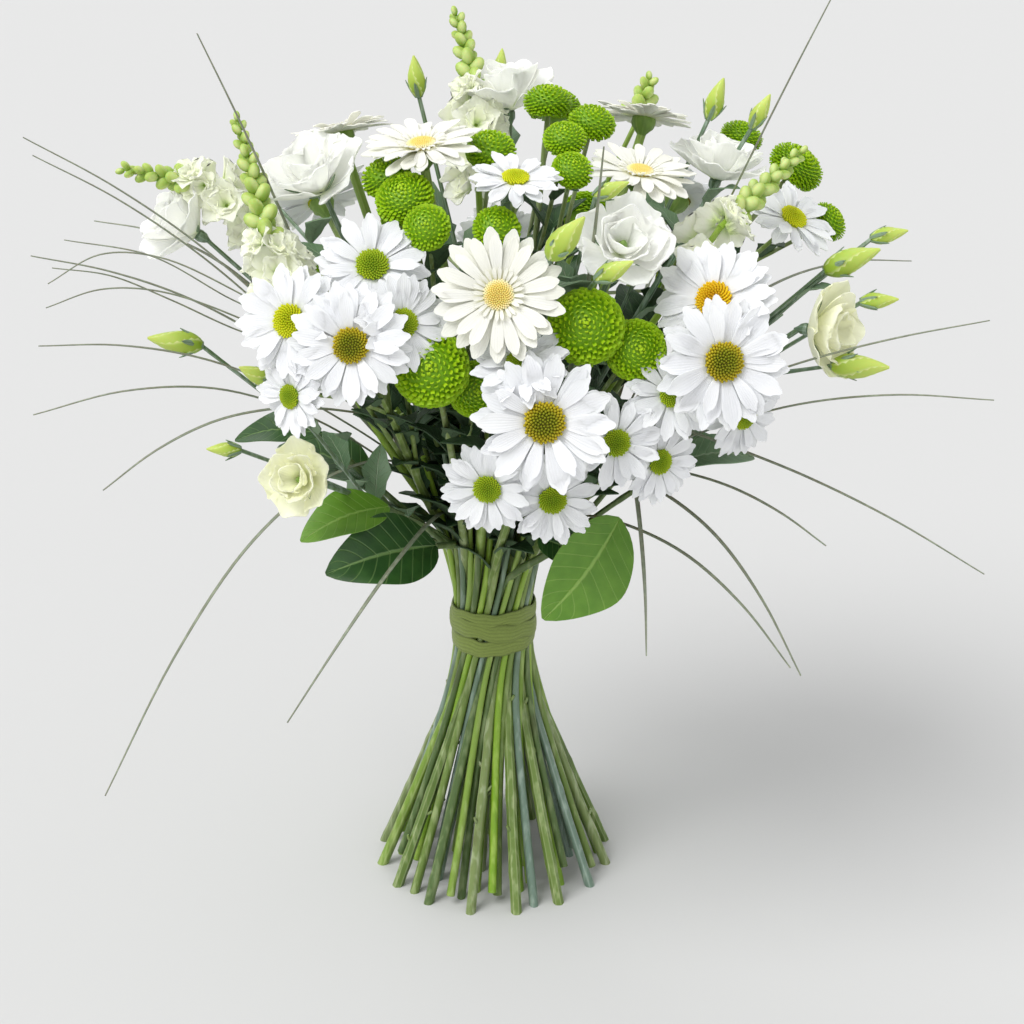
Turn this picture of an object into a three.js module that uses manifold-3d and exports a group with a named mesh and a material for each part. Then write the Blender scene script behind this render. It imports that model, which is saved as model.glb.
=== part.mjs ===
// A hand-tied bunch of white daisies that stands on its own cut ends.
//
// The stems cross in a spiral inside a raffia tie, splay out to a ring of cut ends below it, and fan
// out above it to a domed head of spray daisies, gerberas, green button chrysanthemums, lisianthus,
// snapdragons, broad leaves and long blades of bear grass.
//
// Units are millimetres and +Z is up. The origin is the cut end of the middle stem, on the table.
// -Y is the front of the bunch and +X its right side.

import * as THREE from 'three';
import { mergeVertices } from 'three/addons/utils/BufferGeometryUtils.js';
import Module from 'manifold-3d';

const wasm = await Module();
wasm.setup();
const { CrossSection, Manifold } = wasm;

// ---------------------------------------------------------------- driving dimensions

const TIE_HEIGHT = 138; // middle of the tie above the table
const TIE_BAND = 22; // height of the tie's three turns together
const TIE_INNER = 20.3; // inner radius of the tie
const TIE_OUTER = 21.9; // radius over the crown of a turn
const FOOT_RADIUS = 60; // ring of the outermost cut ends
const RING_STEP = 4.7; // spacing of the rings at the waist of the spiral
const RINGS = [1, 5, 11, 16]; // stems in the middle and in each ring round it
const TWIST = 0.6; // how far the spiral turns on each side of the tie, in radians
const TWIST_REACH = 45; // height over which most of that turn happens
const EASING_ROUNDS = 60; // times the stems are bent clear of each other
const EASING_STEP = 3; // furthest that a round moves a point of a stem
const STRAIGHTENING = 0.04; // share of its kink that a point of a stem loses in a round
const NECK = 26; // the stems run straight through the tie and keep to the spiral this far above it
const FOOT_SWELL = 1.16; // a stem is this much thicker at its cut end than at the tie
const GAP = 0.3; // clear distance between neighbouring pieces
const SLIVER = 0.03; // corners of a cut that lie closer than this become one
const WELD = 1e-3; // corners of a geometry that lie closer than this are the same corner
const PETAL_THICK = 0.9; // petals of the daisies and gerberas
const PETAL_SWELL = 0.66; // share of a petal's length at which it is widest
const SPIKE_COLUMNS = 6; // buds round a snapdragon's spike, every other one standing out
const LEAF_THICK = 0.9; // leaves and lisianthus petals
const GOLDEN = 0.618034; // step of the even, unrepeating spread that varies the pieces

// ---------------------------------------------------------------- colours and finishes

const finish = (color, roughness) => new THREE.MeshStandardMaterial({ color, roughness, metalness: 0 });

const STEM_GREEN = finish(0x6d8f3c, 0.55);
const POMPOM_GREEN = finish(0x86b41e, 0.6);
const LEAF_GREEN = finish(0x3f6b2a, 0.4);
const GRASS_GREEN = finish(0x66705a, 0.5);
const SPIKE_GREEN = finish(0x9bb667, 0.5);
const PETAL_WHITE = finish(0xf4f5f3, 0.55);
const PETAL_CREAM = finish(0xeeeed6, 0.55);
const DISC_GOLD = finish(0xb9a325, 0.7);
const DISC_PALE = finish(0xe8d67c, 0.7);
const RAFFIA = finish(0x66762b, 0.7);

// ---------------------------------------------------------------- what the bunch holds
//
// at: middle of the bloom; faces: the way it looks (any length); across: its width; petals: count.

const DAISY_SPRAYS = [
  {
    name: 'left',
    blooms: [
      { at: [-58, -134, 330], faces: [-1, -19, 6], across: 52, petals: 12 },
      { at: [-84, -123, 337], faces: [-6, -17, 7], across: 49, petals: 12 },
      { at: [-50, -110, 357], faces: [1, -12, 10], across: 48, petals: 11 },
      { at: [-37, -126, 337], faces: [8, -16, 8], across: 42, petals: 10 },
      { at: [-84, -130, 306], faces: [-11, -13, 2], across: 36, petals: 10 },
    ],
  },
  {
    name: 'front',
    blooms: [
      { at: [23, -146, 300], faces: [1, -19, 6], across: 60, petals: 13, gold: true },
      { at: [13, -134, 321], faces: [-2, -12, 14], across: 42, petals: 10 },
      { at: [-1, -126, 262], faces: [-3, -19, 1], across: 42, petals: 11 },
      { at: [27, -124, 256], faces: [2, -19, 1], across: 42, petals: 11 },
    ],
  },
  {
    name: 'front_right',
    blooms: [
      { at: [54, -130, 285], faces: [3, -19, 3], across: 41, petals: 11 },
      { at: [73, -122, 273], faces: [9, -16, 2], across: 38, petals: 10 },
      { at: [78, -120, 303], faces: [5, -17, 7], across: 41, petals: 11 },
    ],
  },
  {
    name: 'right',
    blooms: [
      { at: [99, -126, 320], faces: [4, -19, 6], across: 58, petals: 13, gold: true },
      { at: [97, -104, 340], faces: [-6, -14, 11], across: 54, petals: 11 },
      { at: [112, -94, 284], faces: [11, -15, -3], across: 42, petals: 10 },
    ],
  },
  { name: 'top', blooms: [{ at: [11, -86, 388], faces: [1, -5, 18], across: 40, petals: 11 }] },
  {
    name: 'back_right',
    blooms: [
      { at: [94, 76, 338], faces: [8, 11, 11], across: 56, petals: 11 },
      { at: [140, -14, 351], faces: [8, -8, 15], across: 44, petals: 11 },
    ],
  },
  {
    name: 'back_left',
    blooms: [
      { at: [-88, 78, 336], faces: [-7, 11, 11], across: 56, petals: 11 },
      { at: [4, 122, 300], faces: [0, 18, 4], across: 50, petals: 10 },
    ],
  },
];

// Blooms of a spray whose petals grow into each other make one white body: places in the list above.
const PETAL_GROUPS = {
  left: [[0, 1, 2, 3, 4]],
  front: [[0, 1], [2, 3]],
  front_right: [[0, 1, 2]],
  right: [[0, 1], [2]],
  top: [[0]],
  back_right: [[0], [1]],
  back_left: [[0], [1]],
};

const GERBERAS = [
  { at: [4, -128, 350], faces: [-1, -18, 8], across: 56, layers: 2, gold: true },
  { at: [-30, -62, 397], faces: [-2, -3, 19], across: 54 },
  { at: [-69, -12, 392], faces: [-4, 6, 18], across: 46 },
  { at: [66, -58, 384], faces: [2, -3, 19], across: 50 },
  { at: [72, 18, 392], faces: [3, 7, 17], across: 46 },
];

const POMPOM_SPRAYS = [
  {
    name: 'front_left',
    balls: [
      { at: [-25, -124, 316], faces: [-2, -17, 9], across: 32 },
      { at: [-6, -114, 303], faces: [3, -18, 4], across: 24 },
    ],
  },
  {
    name: 'front_right',
    balls: [
      { at: [41, -118, 333], faces: [-1, -17, 9], across: 32 },
      { at: [63, -114, 321], faces: [4, -17, 7], across: 26 },
    ],
  },
  {
    name: 'top',
    balls: [
      { at: [26, -6, 405], faces: [0, 0, 1], across: 22 },
      { at: [46, -22, 399], faces: [2, -2, 9], across: 21 },
      { at: [33, -45, 397], faces: [0, -3, 9], across: 19 },
      { at: [36, -66, 388], faces: [2, -5, 8], across: 18 },
    ],
  },
  {
    name: 'top_left',
    balls: [
      { at: [-37, -84, 380], faces: [-2, -5, 8], across: 25 },
      { at: [-46, -62, 384], faces: [-3, -2, 8], across: 22 },
      { at: [-27, -98, 371], faces: [-1, -8, 5], across: 20 },
      { at: [0, -50, 393], faces: [0, -3, 9], across: 22 },
      { at: [3, -96, 370], faces: [1, -7, 7], across: 20 },
    ],
  },
  {
    name: 'right',
    balls: [
      { at: [146, 24, 367], faces: [6, 0, 8], across: 27 },
      { at: [120, 32, 380], faces: [3, 1, 9], across: 20 },
      { at: [160, 2, 346], faces: [8, -1, 6], across: 19 },
    ],
  },
  {
    name: 'back',
    balls: [
      { at: [-6, 92, 362], faces: [0, 5, 8], across: 30 },
      { at: [-104, 88, 292], faces: [-7, 7, 2], across: 28 },
      { at: [98, 92, 288], faces: [6, 8, 2], across: 28 },
      { at: [30, 60, 388], faces: [1, 3, 9], across: 26 },
      { at: [-44, 104, 322], faces: [-3, 8, 5], across: 30 },
      { at: [50, 112, 318], faces: [3, 8, 5], across: 30 },
    ],
  },
];

// buds: at is the middle of the bud, points is the way its tip looks
const LISIANTHUS = [
  {
    name: 'left_low',
    flowers: [{ at: [-84, -92, 252], faces: [-6, -15, 6], across: 36 }],
    buds: [
      { at: [-147, -40, 300], points: [-9, -2, 2], length: 26 },
      { at: [-103, -100, 305], points: [-7, -4, 5], length: 18 },
      { at: [-123, -70, 258], points: [-9, -2, 1], length: 16 },
    ],
  },
  {
    name: 'left_high',
    flowers: [
      { at: [-76, -48, 374], faces: [-5, -5, 12], across: 52 },
      { at: [-142, 10, 338], faces: [-12, -3, 9], across: 52 },
    ],
    buds: [{ at: [-120, 66, 352], points: [-6, 4, 8], length: 20 }],
  },
  {
    name: 'top',
    flowers: [{ at: [8, 18, 396], faces: [-1, 0, 12], across: 50 }],
    buds: [
      { at: [-36, 30, 409], points: [-1, 0, 9], length: 20 },
      { at: [4, 44, 412], points: [1, 1, 9], length: 15 },
    ],
  },
  {
    name: 'middle',
    flowers: [{ at: [56, -92, 358], faces: [2, -10, 9], across: 46 }],
    buds: [
      { at: [32, -132, 376], points: [5, -3, 7], length: 26 },
      { at: [52, -132, 362], points: [8, -3, 5], length: 19 },
      { at: [52, -92, 386], points: [8, -2, 4], length: 17 },
    ],
  },
  {
    name: 'right_high',
    flowers: [{ at: [106, 6, 366], faces: [3, -1, 12], across: 46 }],
    buds: [
      { at: [106, 22, 400], points: [3, 0, 9], length: 21 },
      { at: [125, 0, 399], points: [4, 0, 8], length: 18 },
    ],
  },
  {
    name: 'right_low',
    flowers: [{ at: [148, -40, 306], faces: [13, -8, 2], across: 48 }],
    buds: [
      { at: [168, -22, 334], points: [9, -1, 4], length: 28 },
      { at: [186, -14, 344], points: [9, 0, 2], length: 18 },
      { at: [180, -34, 318], points: [9, -1, 1], length: 18 },
      { at: [170, -52, 292], points: [9, -1, 0], length: 27 },
    ],
  },
];

// the flowering part of each spike runs from its first point to its last
const SNAPDRAGONS = [
  { name: 'top', spikes: [[[-8, 8, 398], [-11, 22, 418], [-17, 35, 437]], [[70, 44, 384], [76, 46, 404]]] },
  { name: 'left', spikes: [[[-96, -86, 352], [-102, -74, 380], [-111, -58, 408]]] },
  { name: 'far_left', spikes: [[[-134, 8, 362], [-152, 6, 366], [-173, 2, 371]]] },
  { name: 'right', spikes: [[[102, -60, 360], [122, -34, 370], [143, -8, 381]]] },
];

// each leaf runs from its root to its tip; up is the side that the upper face looks to
const LEAFY_STEMS = [
  {
    name: 'left',
    leaves: [
      { root: [-26, -62, 206], tip: [-76, -94, 206], up: [0, -8, 7], width: 36 },
      { root: [-48, -62, 226], tip: [-88, -84, 218], up: [-2, -6, 8], width: 26 },
      { root: [-80, -40, 254], tip: [-122, -38, 250], up: [0, -4, 9], width: 20 },
      { root: [-58, -14, 216], tip: [-106, 0, 232], up: [-3, 0, 9], width: 34 },
    ],
  },
  {
    name: 'right',
    leaves: [
      { root: [60, -66, 222], tip: [24, -88, 180], up: [6, -9, 5], width: 40 },
      { root: [86, -52, 244], tip: [124, -46, 244], up: [0, -3, 9], width: 22 },
      { root: [22, -52, 206], tip: [50, -66, 198], up: [4, -8, 4], width: 18 },
      { root: [60, -8, 218], tip: [110, 2, 236], up: [3, 0, 9], width: 34 },
    ],
  },
  {
    name: 'back',
    leaves: [
      { root: [-14, 50, 214], tip: [-52, 92, 214], up: [-3, 5, 8], width: 38 },
      { root: [14, 52, 208], tip: [46, 94, 204], up: [3, 6, 7], width: 38 },
      { root: [6, 60, 240], tip: [6, 114, 250], up: [0, -2, 9], width: 34 },
    ],
  },
];

// each blade leaves the head at the first point, bends past the second and ends at the third
const GRASS = [
  {
    name: 'left',
    root: [-62, -34, 262],
    blades: [
      [[-90, -66, 366], [-104, -78, 410], [-122, -90, 452]],
      [[-112, -46, 352], [-166, -50, 386], [-206, -56, 400]],
      [[-124, -24, 350], [-170, -30, 378], [-206, -40, 388]],
      [[-116, -58, 330], [-170, -64, 352], [-204, -70, 350]],
      [[-114, -74, 318], [-166, -80, 324], [-200, -88, 314]],
      [[-116, -48, 314], [-160, -66, 304], [-206, -84, 280]],
      [[-112, -90, 296], [-150, -96, 282], [-172, -110, 254]],
      [[-90, -60, 262], [-142, -100, 216], [-178, -130, 110]],
      [[-30, -112, 248], [-56, -138, 212], [-90, -152, 160]],
      [[-118, 30, 330], [-166, 44, 346], [-200, 60, 330]],
      [[-82, 96, 300], [-112, 132, 296], [-130, 160, 262]],
      [[-30, 120, 340], [-34, 146, 350], [-40, 176, 336]],
    ],
  },
  {
    name: 'right',
    root: [64, -30, 262],
    blades: [
      [[112, -34, 372], [130, -46, 424], [148, -58, 464]],
      [[118, -78, 308], [174, -74, 316], [224, -70, 320]],
      [[122, -70, 298], [182, -84, 304], [224, -92, 290]],
      [[116, -84, 262], [178, -100, 252], [222, -112, 214]],
      [[98, -90, 250], [124, -110, 224], [140, -126, 170]],
      [[84, -100, 244], [118, -120, 216], [134, -134, 178]],
      [[66, -92, 236], [74, -112, 212], [70, -126, 180]],
      [[104, -76, 256], [134, -100, 246], [150, -112, 228]],
      [[46, -104, 350], [48, -108, 380], [48, -106, 408]],
      [[128, 24, 326], [176, 44, 330], [212, 64, 308]],
      [[92, 98, 300], [124, 132, 292], [146, 160, 256]],
      [[34, 124, 330], [40, 152, 338], [50, 180, 322]],
    ],
  },
];

// radius of a main stem at the tie and at its end, and of its side stems or blades
const STEM_SIZES = {
  daisy: { tie: 2.3, end: 1.3, twig: 1.1 },
  gerbera: { tie: 2.4, end: 2.1, twig: 1.2 },
  pompom: { tie: 2.2, end: 1.2, twig: 1.0 },
  lisianthus: { tie: 2.0, end: 1.2, twig: 1.0 },
  snapdragon: { tie: 2.4, end: 1.4, twig: 1.2 },
  leafy: { tie: 2.2, end: 1.5, twig: 1.4 },
  grass: { tie: 2.3, end: 1.8, twig: 0.55 },
};

// ---------------------------------------------------------------- small helpers

const vec = (p) => new THREE.Vector3(...p);

/** An even spread of values from 0 to 1 that never repeats: the same on every run. */
const spread = (n) => (n * GOLDEN) % 1;

/** Matrix that stands local +Z along a direction at a point, turned by roll about it. */
function standing(at, faces, roll = 0) {
  const z = faces.clone().normalize();
  const side = Math.abs(z.z) < 0.9 ? new THREE.Vector3(0, 0, 1) : new THREE.Vector3(0, -1, 0);
  const x = new THREE.Vector3().crossVectors(side, z).normalize();
  const y = new THREE.Vector3().crossVectors(z, x);
  const turn = new THREE.Matrix4().makeRotationZ(roll);
  return new THREE.Matrix4().makeBasis(x, y, z).setPosition(at).multiply(turn);
}

/** Moves every corner of a geometry by a function that changes the vector it is given. */
function shaped(geometry, change) {
  const places = geometry.getAttribute('position');
  const p = new THREE.Vector3();
  for (let i = 0; i < places.count; i += 1) {
    p.fromBufferAttribute(places, i);
    change(p);
    places.setXYZ(i, p.x, p.y, p.z);
  }
  return geometry;
}

/** Turns a closed geometry into a solid, with its shared corners merged. */
function solid(geometry) {
  const bare = new THREE.BufferGeometry();
  bare.setAttribute('position', geometry.getAttribute('position'));
  bare.setIndex(geometry.index);
  const merged = mergeVertices(bare, WELD);
  const corners = merged.index.array;
  const faces = [];
  for (let i = 0; i < corners.length; i += 3) {
    const [a, b, c] = corners.subarray(i, i + 3);
    if (a !== b && b !== c && c !== a) faces.push(a, b, c);
  }
  const vertProperties = Float32Array.from(merged.getAttribute('position').array);
  return new Manifold(new wasm.Mesh({ numProp: 3, vertProperties, triVerts: Uint32Array.from(faces) }));
}

const joined = (solids) => solids.reduce((sum, next) => sum.add(next));

/** Direction of a path at one of its points. */
function heading(points, i) {
  const before = points[Math.max(i - 1, 0)];
  const after = points[Math.min(i + 1, points.length - 1)];
  return new THREE.Vector3().subVectors(after, before).normalize();
}

/** Round stem along a path, with a radius for each point; a cut end on the table is level. */
function tube(points, radii, sides, pad, relief = () => 1) {
  const steps = points.length - 1;
  let across = new THREE.Vector3(1, 0, 0);
  const frames = points.map((point, i) => {
    const along = heading(points, i);
    across = across.clone().addScaledVector(along, -across.dot(along)).normalize();
    return { point, along, across, beside: new THREE.Vector3().crossVectors(across, along) };
  });
  const barrel = new THREE.CylinderGeometry(1, 1, steps, sides, steps);
  return solid(shaped(barrel, (p) => {
    const i = Math.round(p.y + steps / 2);
    const angle = Math.atan2(p.z, p.x);
    const column = Math.round(((angle / (2 * Math.PI) + 1) * sides) % sides);
    const radius = (radii[i] * relief(i, column) + pad) * Math.hypot(p.x, p.z);
    const { point, along, across: u, beside } = frames[i];
    p.copy(point);
    p.addScaledVector(u, Math.cos(angle) * radius).addScaledVector(beside, Math.sin(angle) * radius);
    if (point.z === 0) p.addScaledVector(along, -p.z / along.z);
  }));
}

/** Solid between two like sheets: corners holds the one that faces out by its faces, then the other. */
function thinShell(corners, sheet, rim) {
  const count = corners.length / 6;
  const faces = [...sheet];
  for (let i = 0; i < sheet.length; i += 3) {
    faces.push(count + sheet[i], count + sheet[i + 2], count + sheet[i + 1]);
  }
  rim.forEach((a, i) => {
    const b = rim[(i + 1) % rim.length];
    faces.push(a, b, count + b, a, count + b, count + a);
  });
  const shell = new THREE.BufferGeometry();
  shell.setAttribute('position', new THREE.Float32BufferAttribute(corners, 3));
  shell.setIndex(faces);
  return solid(shell);
}

/** Thin curved blade: surface(u, v) gives its middle face, with u and v from 0 to 1. */
function blade(surface, rows, columns, thick, pad, overhang) {
  const plane = new THREE.PlaneGeometry(1, 1, columns, rows);
  const reach = 1 + 2 * overhang * pad;
  const point = (u, v) => surface((u - 0.5) * reach + 0.5, (v - 0.5) * reach + 0.5);
  const count = (rows + 1) * (columns + 1);
  const corners = [];
  const places = plane.getAttribute('position');
  for (const side of [1, -1]) {
    for (let i = 0; i < count; i += 1) {
      const u = places.getX(i) + 0.5;
      const v = places.getY(i) + 0.5;
      const du = point(u + 0.01, v).sub(point(u - 0.01, v));
      const dv = point(u, v + 0.01).sub(point(u, v - 0.01));
      const normal = du.cross(dv).normalize();
      corners.push(...point(u, v).addScaledVector(normal, side * (thick / 2 + pad)));
    }
  }
  const rim = [];
  for (let i = 0; i < columns; i += 1) rim.push(i);
  for (let i = 0; i < rows; i += 1) rim.push(i * (columns + 1) + columns);
  for (let i = columns; i > 0; i -= 1) rim.push(rows * (columns + 1) + i);
  for (let i = rows; i > 0; i -= 1) rim.push(i * (columns + 1));
  return thinShell(corners, [...plane.index.array], rim);
}

// ---------------------------------------------------------------- blooms, in their own frame

/** One layer of petals cut from a plate: narrow at the hub, blunt at the tip, dished by rise. */
function petalPlate({ petals, reach, hub, width, rise, seed, blunt = true }, pad) {
  const outline = [];
  const pitch = (2 * Math.PI) / petals;
  const to = (radius, angle) => outline.push([radius * Math.cos(angle), radius * Math.sin(angle)]);
  for (let k = 0; k < petals; k += 1) {
    const length = reach * (0.94 + 0.06 * spread(seed + 3 * k)) + pad;
    const middle = pitch * (k + 0.16 * (spread(seed + 5 * k) - 0.5));
    const half = (width / 2 + pad) / (PETAL_SWELL * length);
    to(hub + 2 * pad, pitch * (k - 0.5));
    to(PETAL_SWELL * length, middle - half);
    if (blunt) {
      to(0.97 * length, middle - 0.36 * half);
      to(0.99 * length, middle + 0.3 * half);
    } else {
      to(length, middle);
    }
    to(PETAL_SWELL * length, middle + half);
  }
  // petals that lap are joined while they are flat, and the heart keeps the middle of the dish level
  const layer = new CrossSection([outline], 'Positive');
  const heart = CrossSection.circle(0.8 * hub, 6);
  const dished = (shape) => shape.extrude(PETAL_THICK + 2 * pad).warp((corner) => {
    const out = Math.max(Math.hypot(corner[0], corner[1]) - hub, 0) / (reach - hub);
    corner[2] += rise * out * out - pad;
  });
  return dished(layer.subtract(heart)).add(dished(layer.intersect(heart)));
}

/** Green cup under a bloom, its neck through the petals, and the disc that sits on them. */
function calyxAndDisc(across, disc, pad, withDisc) {
  const neck = Math.min(0.55 * disc, 3.2);
  const cup = 0.75 * disc;
  const profile = [[cup, -1.6]];
  if (withDisc) {
    profile.push([neck, PETAL_THICK + GAP], [disc, PETAL_THICK + 2 * GAP]);
    if (across > 45) profile.push([0.72 * disc, PETAL_THICK + 0.38 * disc]);
  } else {
    profile.push([0.7 * cup, -GAP - 0.2]);
  }
  const high = profile[profile.length - 1];
  const rings = profile.map(([r, z]) => new THREE.Vector2(r + pad, z));
  rings.unshift(new THREE.Vector2(0, -0.22 * across - pad));
  rings.push(new THREE.Vector2(0, (withDisc ? PETAL_THICK + 0.46 * disc : high[1]) + pad));
  const lathe = new THREE.LatheGeometry(rings, 6);
  return solid(lathe.rotateX(Math.PI / 2));
}

/** Separate golden disc that rests on the petals. */
function goldDisc(disc, pad) {
  const rings = [[0, 2 * GAP], [disc, 2 * GAP], [disc, 1.6], [0.75 * disc, 0.4 * disc], [0, 0.42 * disc]];
  const profile = rings.map(([r, z], i) => {
    const lift = i > 2 ? pad : 0;
    return new THREE.Vector2(r > 0 ? r + pad : 0, PETAL_THICK + z + lift - (i < 2 ? 0.5 * pad : 0));
  });
  return solid(new THREE.LatheGeometry(profile, 8).rotateX(Math.PI / 2));
}

/** Button chrysanthemum: a flattened ball whose florets stand out of it in staggered rows. */
function pompom(across, pad) {
  const columns = across > 23 ? 8 : 6;
  const rows = 4;
  const ball = new THREE.SphereGeometry(1, columns, rows);
  const radius = across / 2;
  return solid(shaped(ball.rotateX(Math.PI / 2), (p) => {
    const around = Math.round((Math.atan2(p.y, p.x) / (2 * Math.PI)) * columns + columns);
    const row = Math.round((Math.acos(THREE.MathUtils.clamp(p.z, -1, 1)) / Math.PI) * rows);
    const pole = row === 0 || row === rows;
    const floret = pole || (around + row) % 2 === 0 ? 1 : 0.88;
    p.multiplyScalar(radius * floret + pad);
    p.z *= 0.72;
  }));
}

/** Lisianthus bud: a twisted spindle from the end of its stem to a drawn-out tip. */
function bud(length, pad) {
  const radii = [0.1, 0.22, 0.17, 0.03];
  const steps = radii.length - 1;
  const barrel = new THREE.CylinderGeometry(1, 1, steps, 5, steps);
  return solid(shaped(barrel.rotateX(Math.PI / 2), (p) => {
    const step = Math.round(p.z + steps / 2);
    const radius = (radii[step] * length + pad) * Math.hypot(p.x, p.y);
    const angle = Math.atan2(p.y, p.x) + 0.35 * step;
    p.set(radius * Math.cos(angle), radius * Math.sin(angle), (step / steps) * (length + 2 * pad) - pad);
  }));
}

/** Open lisianthus flower: a bowl of broad petals, waved at the rim and notched between them. */
function lisianthusFlower(across, seed, pad) {
  const columns = 10;
  const bowl = [[0, 0.02], [0.45, 0.1], [1, 0.34]].map(([r, z]) => new THREE.Vector2(r, z));
  const sheet = new THREE.LatheGeometry(bowl, columns, Math.PI / 2).rotateX(Math.PI / 2);
  const upright = Math.SQRT2 * (LEAF_THICK / 2 + pad); // half the wall, which leans about 45 degrees
  const corners = [];
  for (const side of [-1, 1]) {
    const face = shaped(sheet.clone(), (p) => {
      const out = Math.hypot(p.x, p.y);
      const column = Math.round((Math.atan2(p.y, p.x) / (2 * Math.PI) + 1) * columns) % columns;
      const notch = out * (column % 2);
      const radius = (across / 2) * (1 - 0.2 * notch) + pad;
      p.x *= radius;
      p.y *= radius;
      p.z = across * (p.z - 0.05 * out * notch) + 1.2 * out * out * Math.sin(column * 2.4 + seed);
      p.z += side * upright;
    });
    corners.push(...face.getAttribute('position').array);
  }
  const rim = Array.from({ length: columns }, (_, i) => (i + 1) * bowl.length - 1);
  return thinShell(corners, [...sheet.index.array], rim);
}

// ---------------------------------------------------------------- where the stems run

const RING_MAX = RING_STEP * (RINGS.length - 1);
const SPLAY = Math.sqrt(FOOT_RADIUS ** 2 - RING_MAX ** 2) / (TIE_HEIGHT * RING_MAX);

/** Place of a stem in the spiral at a height: the whole ring widens and turns together. */
function inSpiral(slot, z) {
  const rise = z - TIE_HEIGHT;
  const angle = slot.angle + (TWIST * rise) / Math.hypot(rise, TWIST_REACH);
  const radius = slot.radius * Math.hypot(1, SPLAY * rise);
  return new THREE.Vector3(radius * Math.cos(angle), radius * Math.sin(angle), z);
}

/** Gives each plant its slot in the tie: flat-lying heads outside, in the order they lie round. */
function giveSlots(plants) {
  const lean = ({ lead }) => Math.atan2(Math.hypot(lead.x, lead.y), lead.z - TIE_HEIGHT);
  const inward = [...plants].sort((a, b) => lean(a) - lean(b));
  let first = 0;
  RINGS.forEach((count, ring) => {
    const members = inward.slice(first, first + count);
    first += count;
    const azimuth = ({ lead }) => Math.atan2(lead.y, lead.x);
    members.sort((a, b) => azimuth(a) - azimuth(b));
    const pitch = (2 * Math.PI) / count;
    const offsets = members.map((plant, i) => azimuth(plant) - i * pitch);
    const sine = offsets.reduce((sum, a) => sum + Math.sin(a), 0);
    const cosine = offsets.reduce((sum, a) => sum + Math.cos(a), 0);
    const start = Math.atan2(sine, cosine) - TWIST;
    members.forEach((plant, i) => {
      plant.slot = { radius: ring * RING_STEP, angle: start + i * pitch };
    });
  });
}

/** Points of a smooth curve that leaves one end and reaches the other along given directions. */
function sweep(from, leaving, to, arriving, count) {
  const reach = from.distanceTo(to) * 0.3;
  const curve = new THREE.CubicBezierCurve3(
    from,
    from.clone().addScaledVector(leaving, reach),
    to.clone().addScaledVector(arriving, -reach),
    to,
  );
  return curve.getPoints(count);
}

/** Main stem from the table through the tie to its first head. */
function mainStem(plant) {
  const { slot, ends } = plant;
  const low = [0, 0.42 * TIE_HEIGHT, TIE_HEIGHT - NECK].map((z) => inSpiral(slot, z));
  const neck = inSpiral(slot, TIE_HEIGHT + NECK);
  const leaving = neck.clone().sub(low[2]).normalize();
  const upper = sweep(neck, leaving, ends[0].at, ends[0].faces, 3);
  const points = [...low, ...upper];
  const { tie, end } = STEM_SIZES[plant.kind];
  const last = points.length - 1;
  const radii = points.map((_, i) => {
    if (i < 2) return tie * (FOOT_SWELL + (1 - FOOT_SWELL) * (i / 2));
    return tie + (end - tie) * Math.max(i - 3, 0) / (last - 3);
  });
  return { points, radii, free: points.map((_, i) => i > 3 && i < last), sides: 5, from: null };
}

/** Side stem from a point of the main stem to another head. */
function sideStem(plant, end, n) {
  const main = plant.strands[0];
  const root = 4 + (n % 2);
  const points = sweep(main.points[root].clone(), heading(main.points, root), end.at, end.faces, 2);
  const { twig } = STEM_SIZES[plant.kind];
  const radii = points.map(() => twig);
  return { points, radii, free: [false, true, false], sides: 3, from: { main, root } };
}

/** Blade of grass from the side of its bundle, out through the head and over to its tip. */
function grassBlade(plant, stops, n) {
  const main = plant.strands[0];
  const root = main.points.length - 1 - (n % 3);
  const start = main.points[root].clone();
  const aim = vec(stops[0]).sub(start).normalize();
  const clear = start.clone().addScaledVector(aim, 14);
  const curve = new THREE.CatmullRomCurve3([start, clear, ...stops.map(vec)]);
  const points = curve.getPoints(5);
  const last = points.length - 1;
  const { twig } = STEM_SIZES.grass;
  const radii = points.map((_, i) => twig * (1.35 - 0.75 * (i / last)));
  return { points, radii, free: points.map((_, i) => i > 0 && i < last), sides: 3, from: { main, root } };
}

/** Shares s and t of the nearest points of two straight pieces, and the vector between them. */
function nearest(a, b, c, d) {
  const u = new THREE.Vector3().subVectors(b, a);
  const v = new THREE.Vector3().subVectors(d, c);
  const w = new THREE.Vector3().subVectors(a, c);
  const uu = Math.max(u.dot(u), 1e-9);
  const uv = u.dot(v);
  const vv = Math.max(v.dot(v), 1e-9);
  const uw = u.dot(w);
  const vw = v.dot(w);
  const spin = Math.max(uu * vv - uv * uv, 1e-9);
  const s0 = THREE.MathUtils.clamp((uv * vw - vv * uw) / spin, 0, 1);
  const t = THREE.MathUtils.clamp((uv * s0 + vw) / vv, 0, 1);
  const s = THREE.MathUtils.clamp((uv * t - uw) / uu, 0, 1);
  const apart = w.addScaledVector(u, s).addScaledVector(v, -t);
  return { s, t, apart };
}

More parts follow.
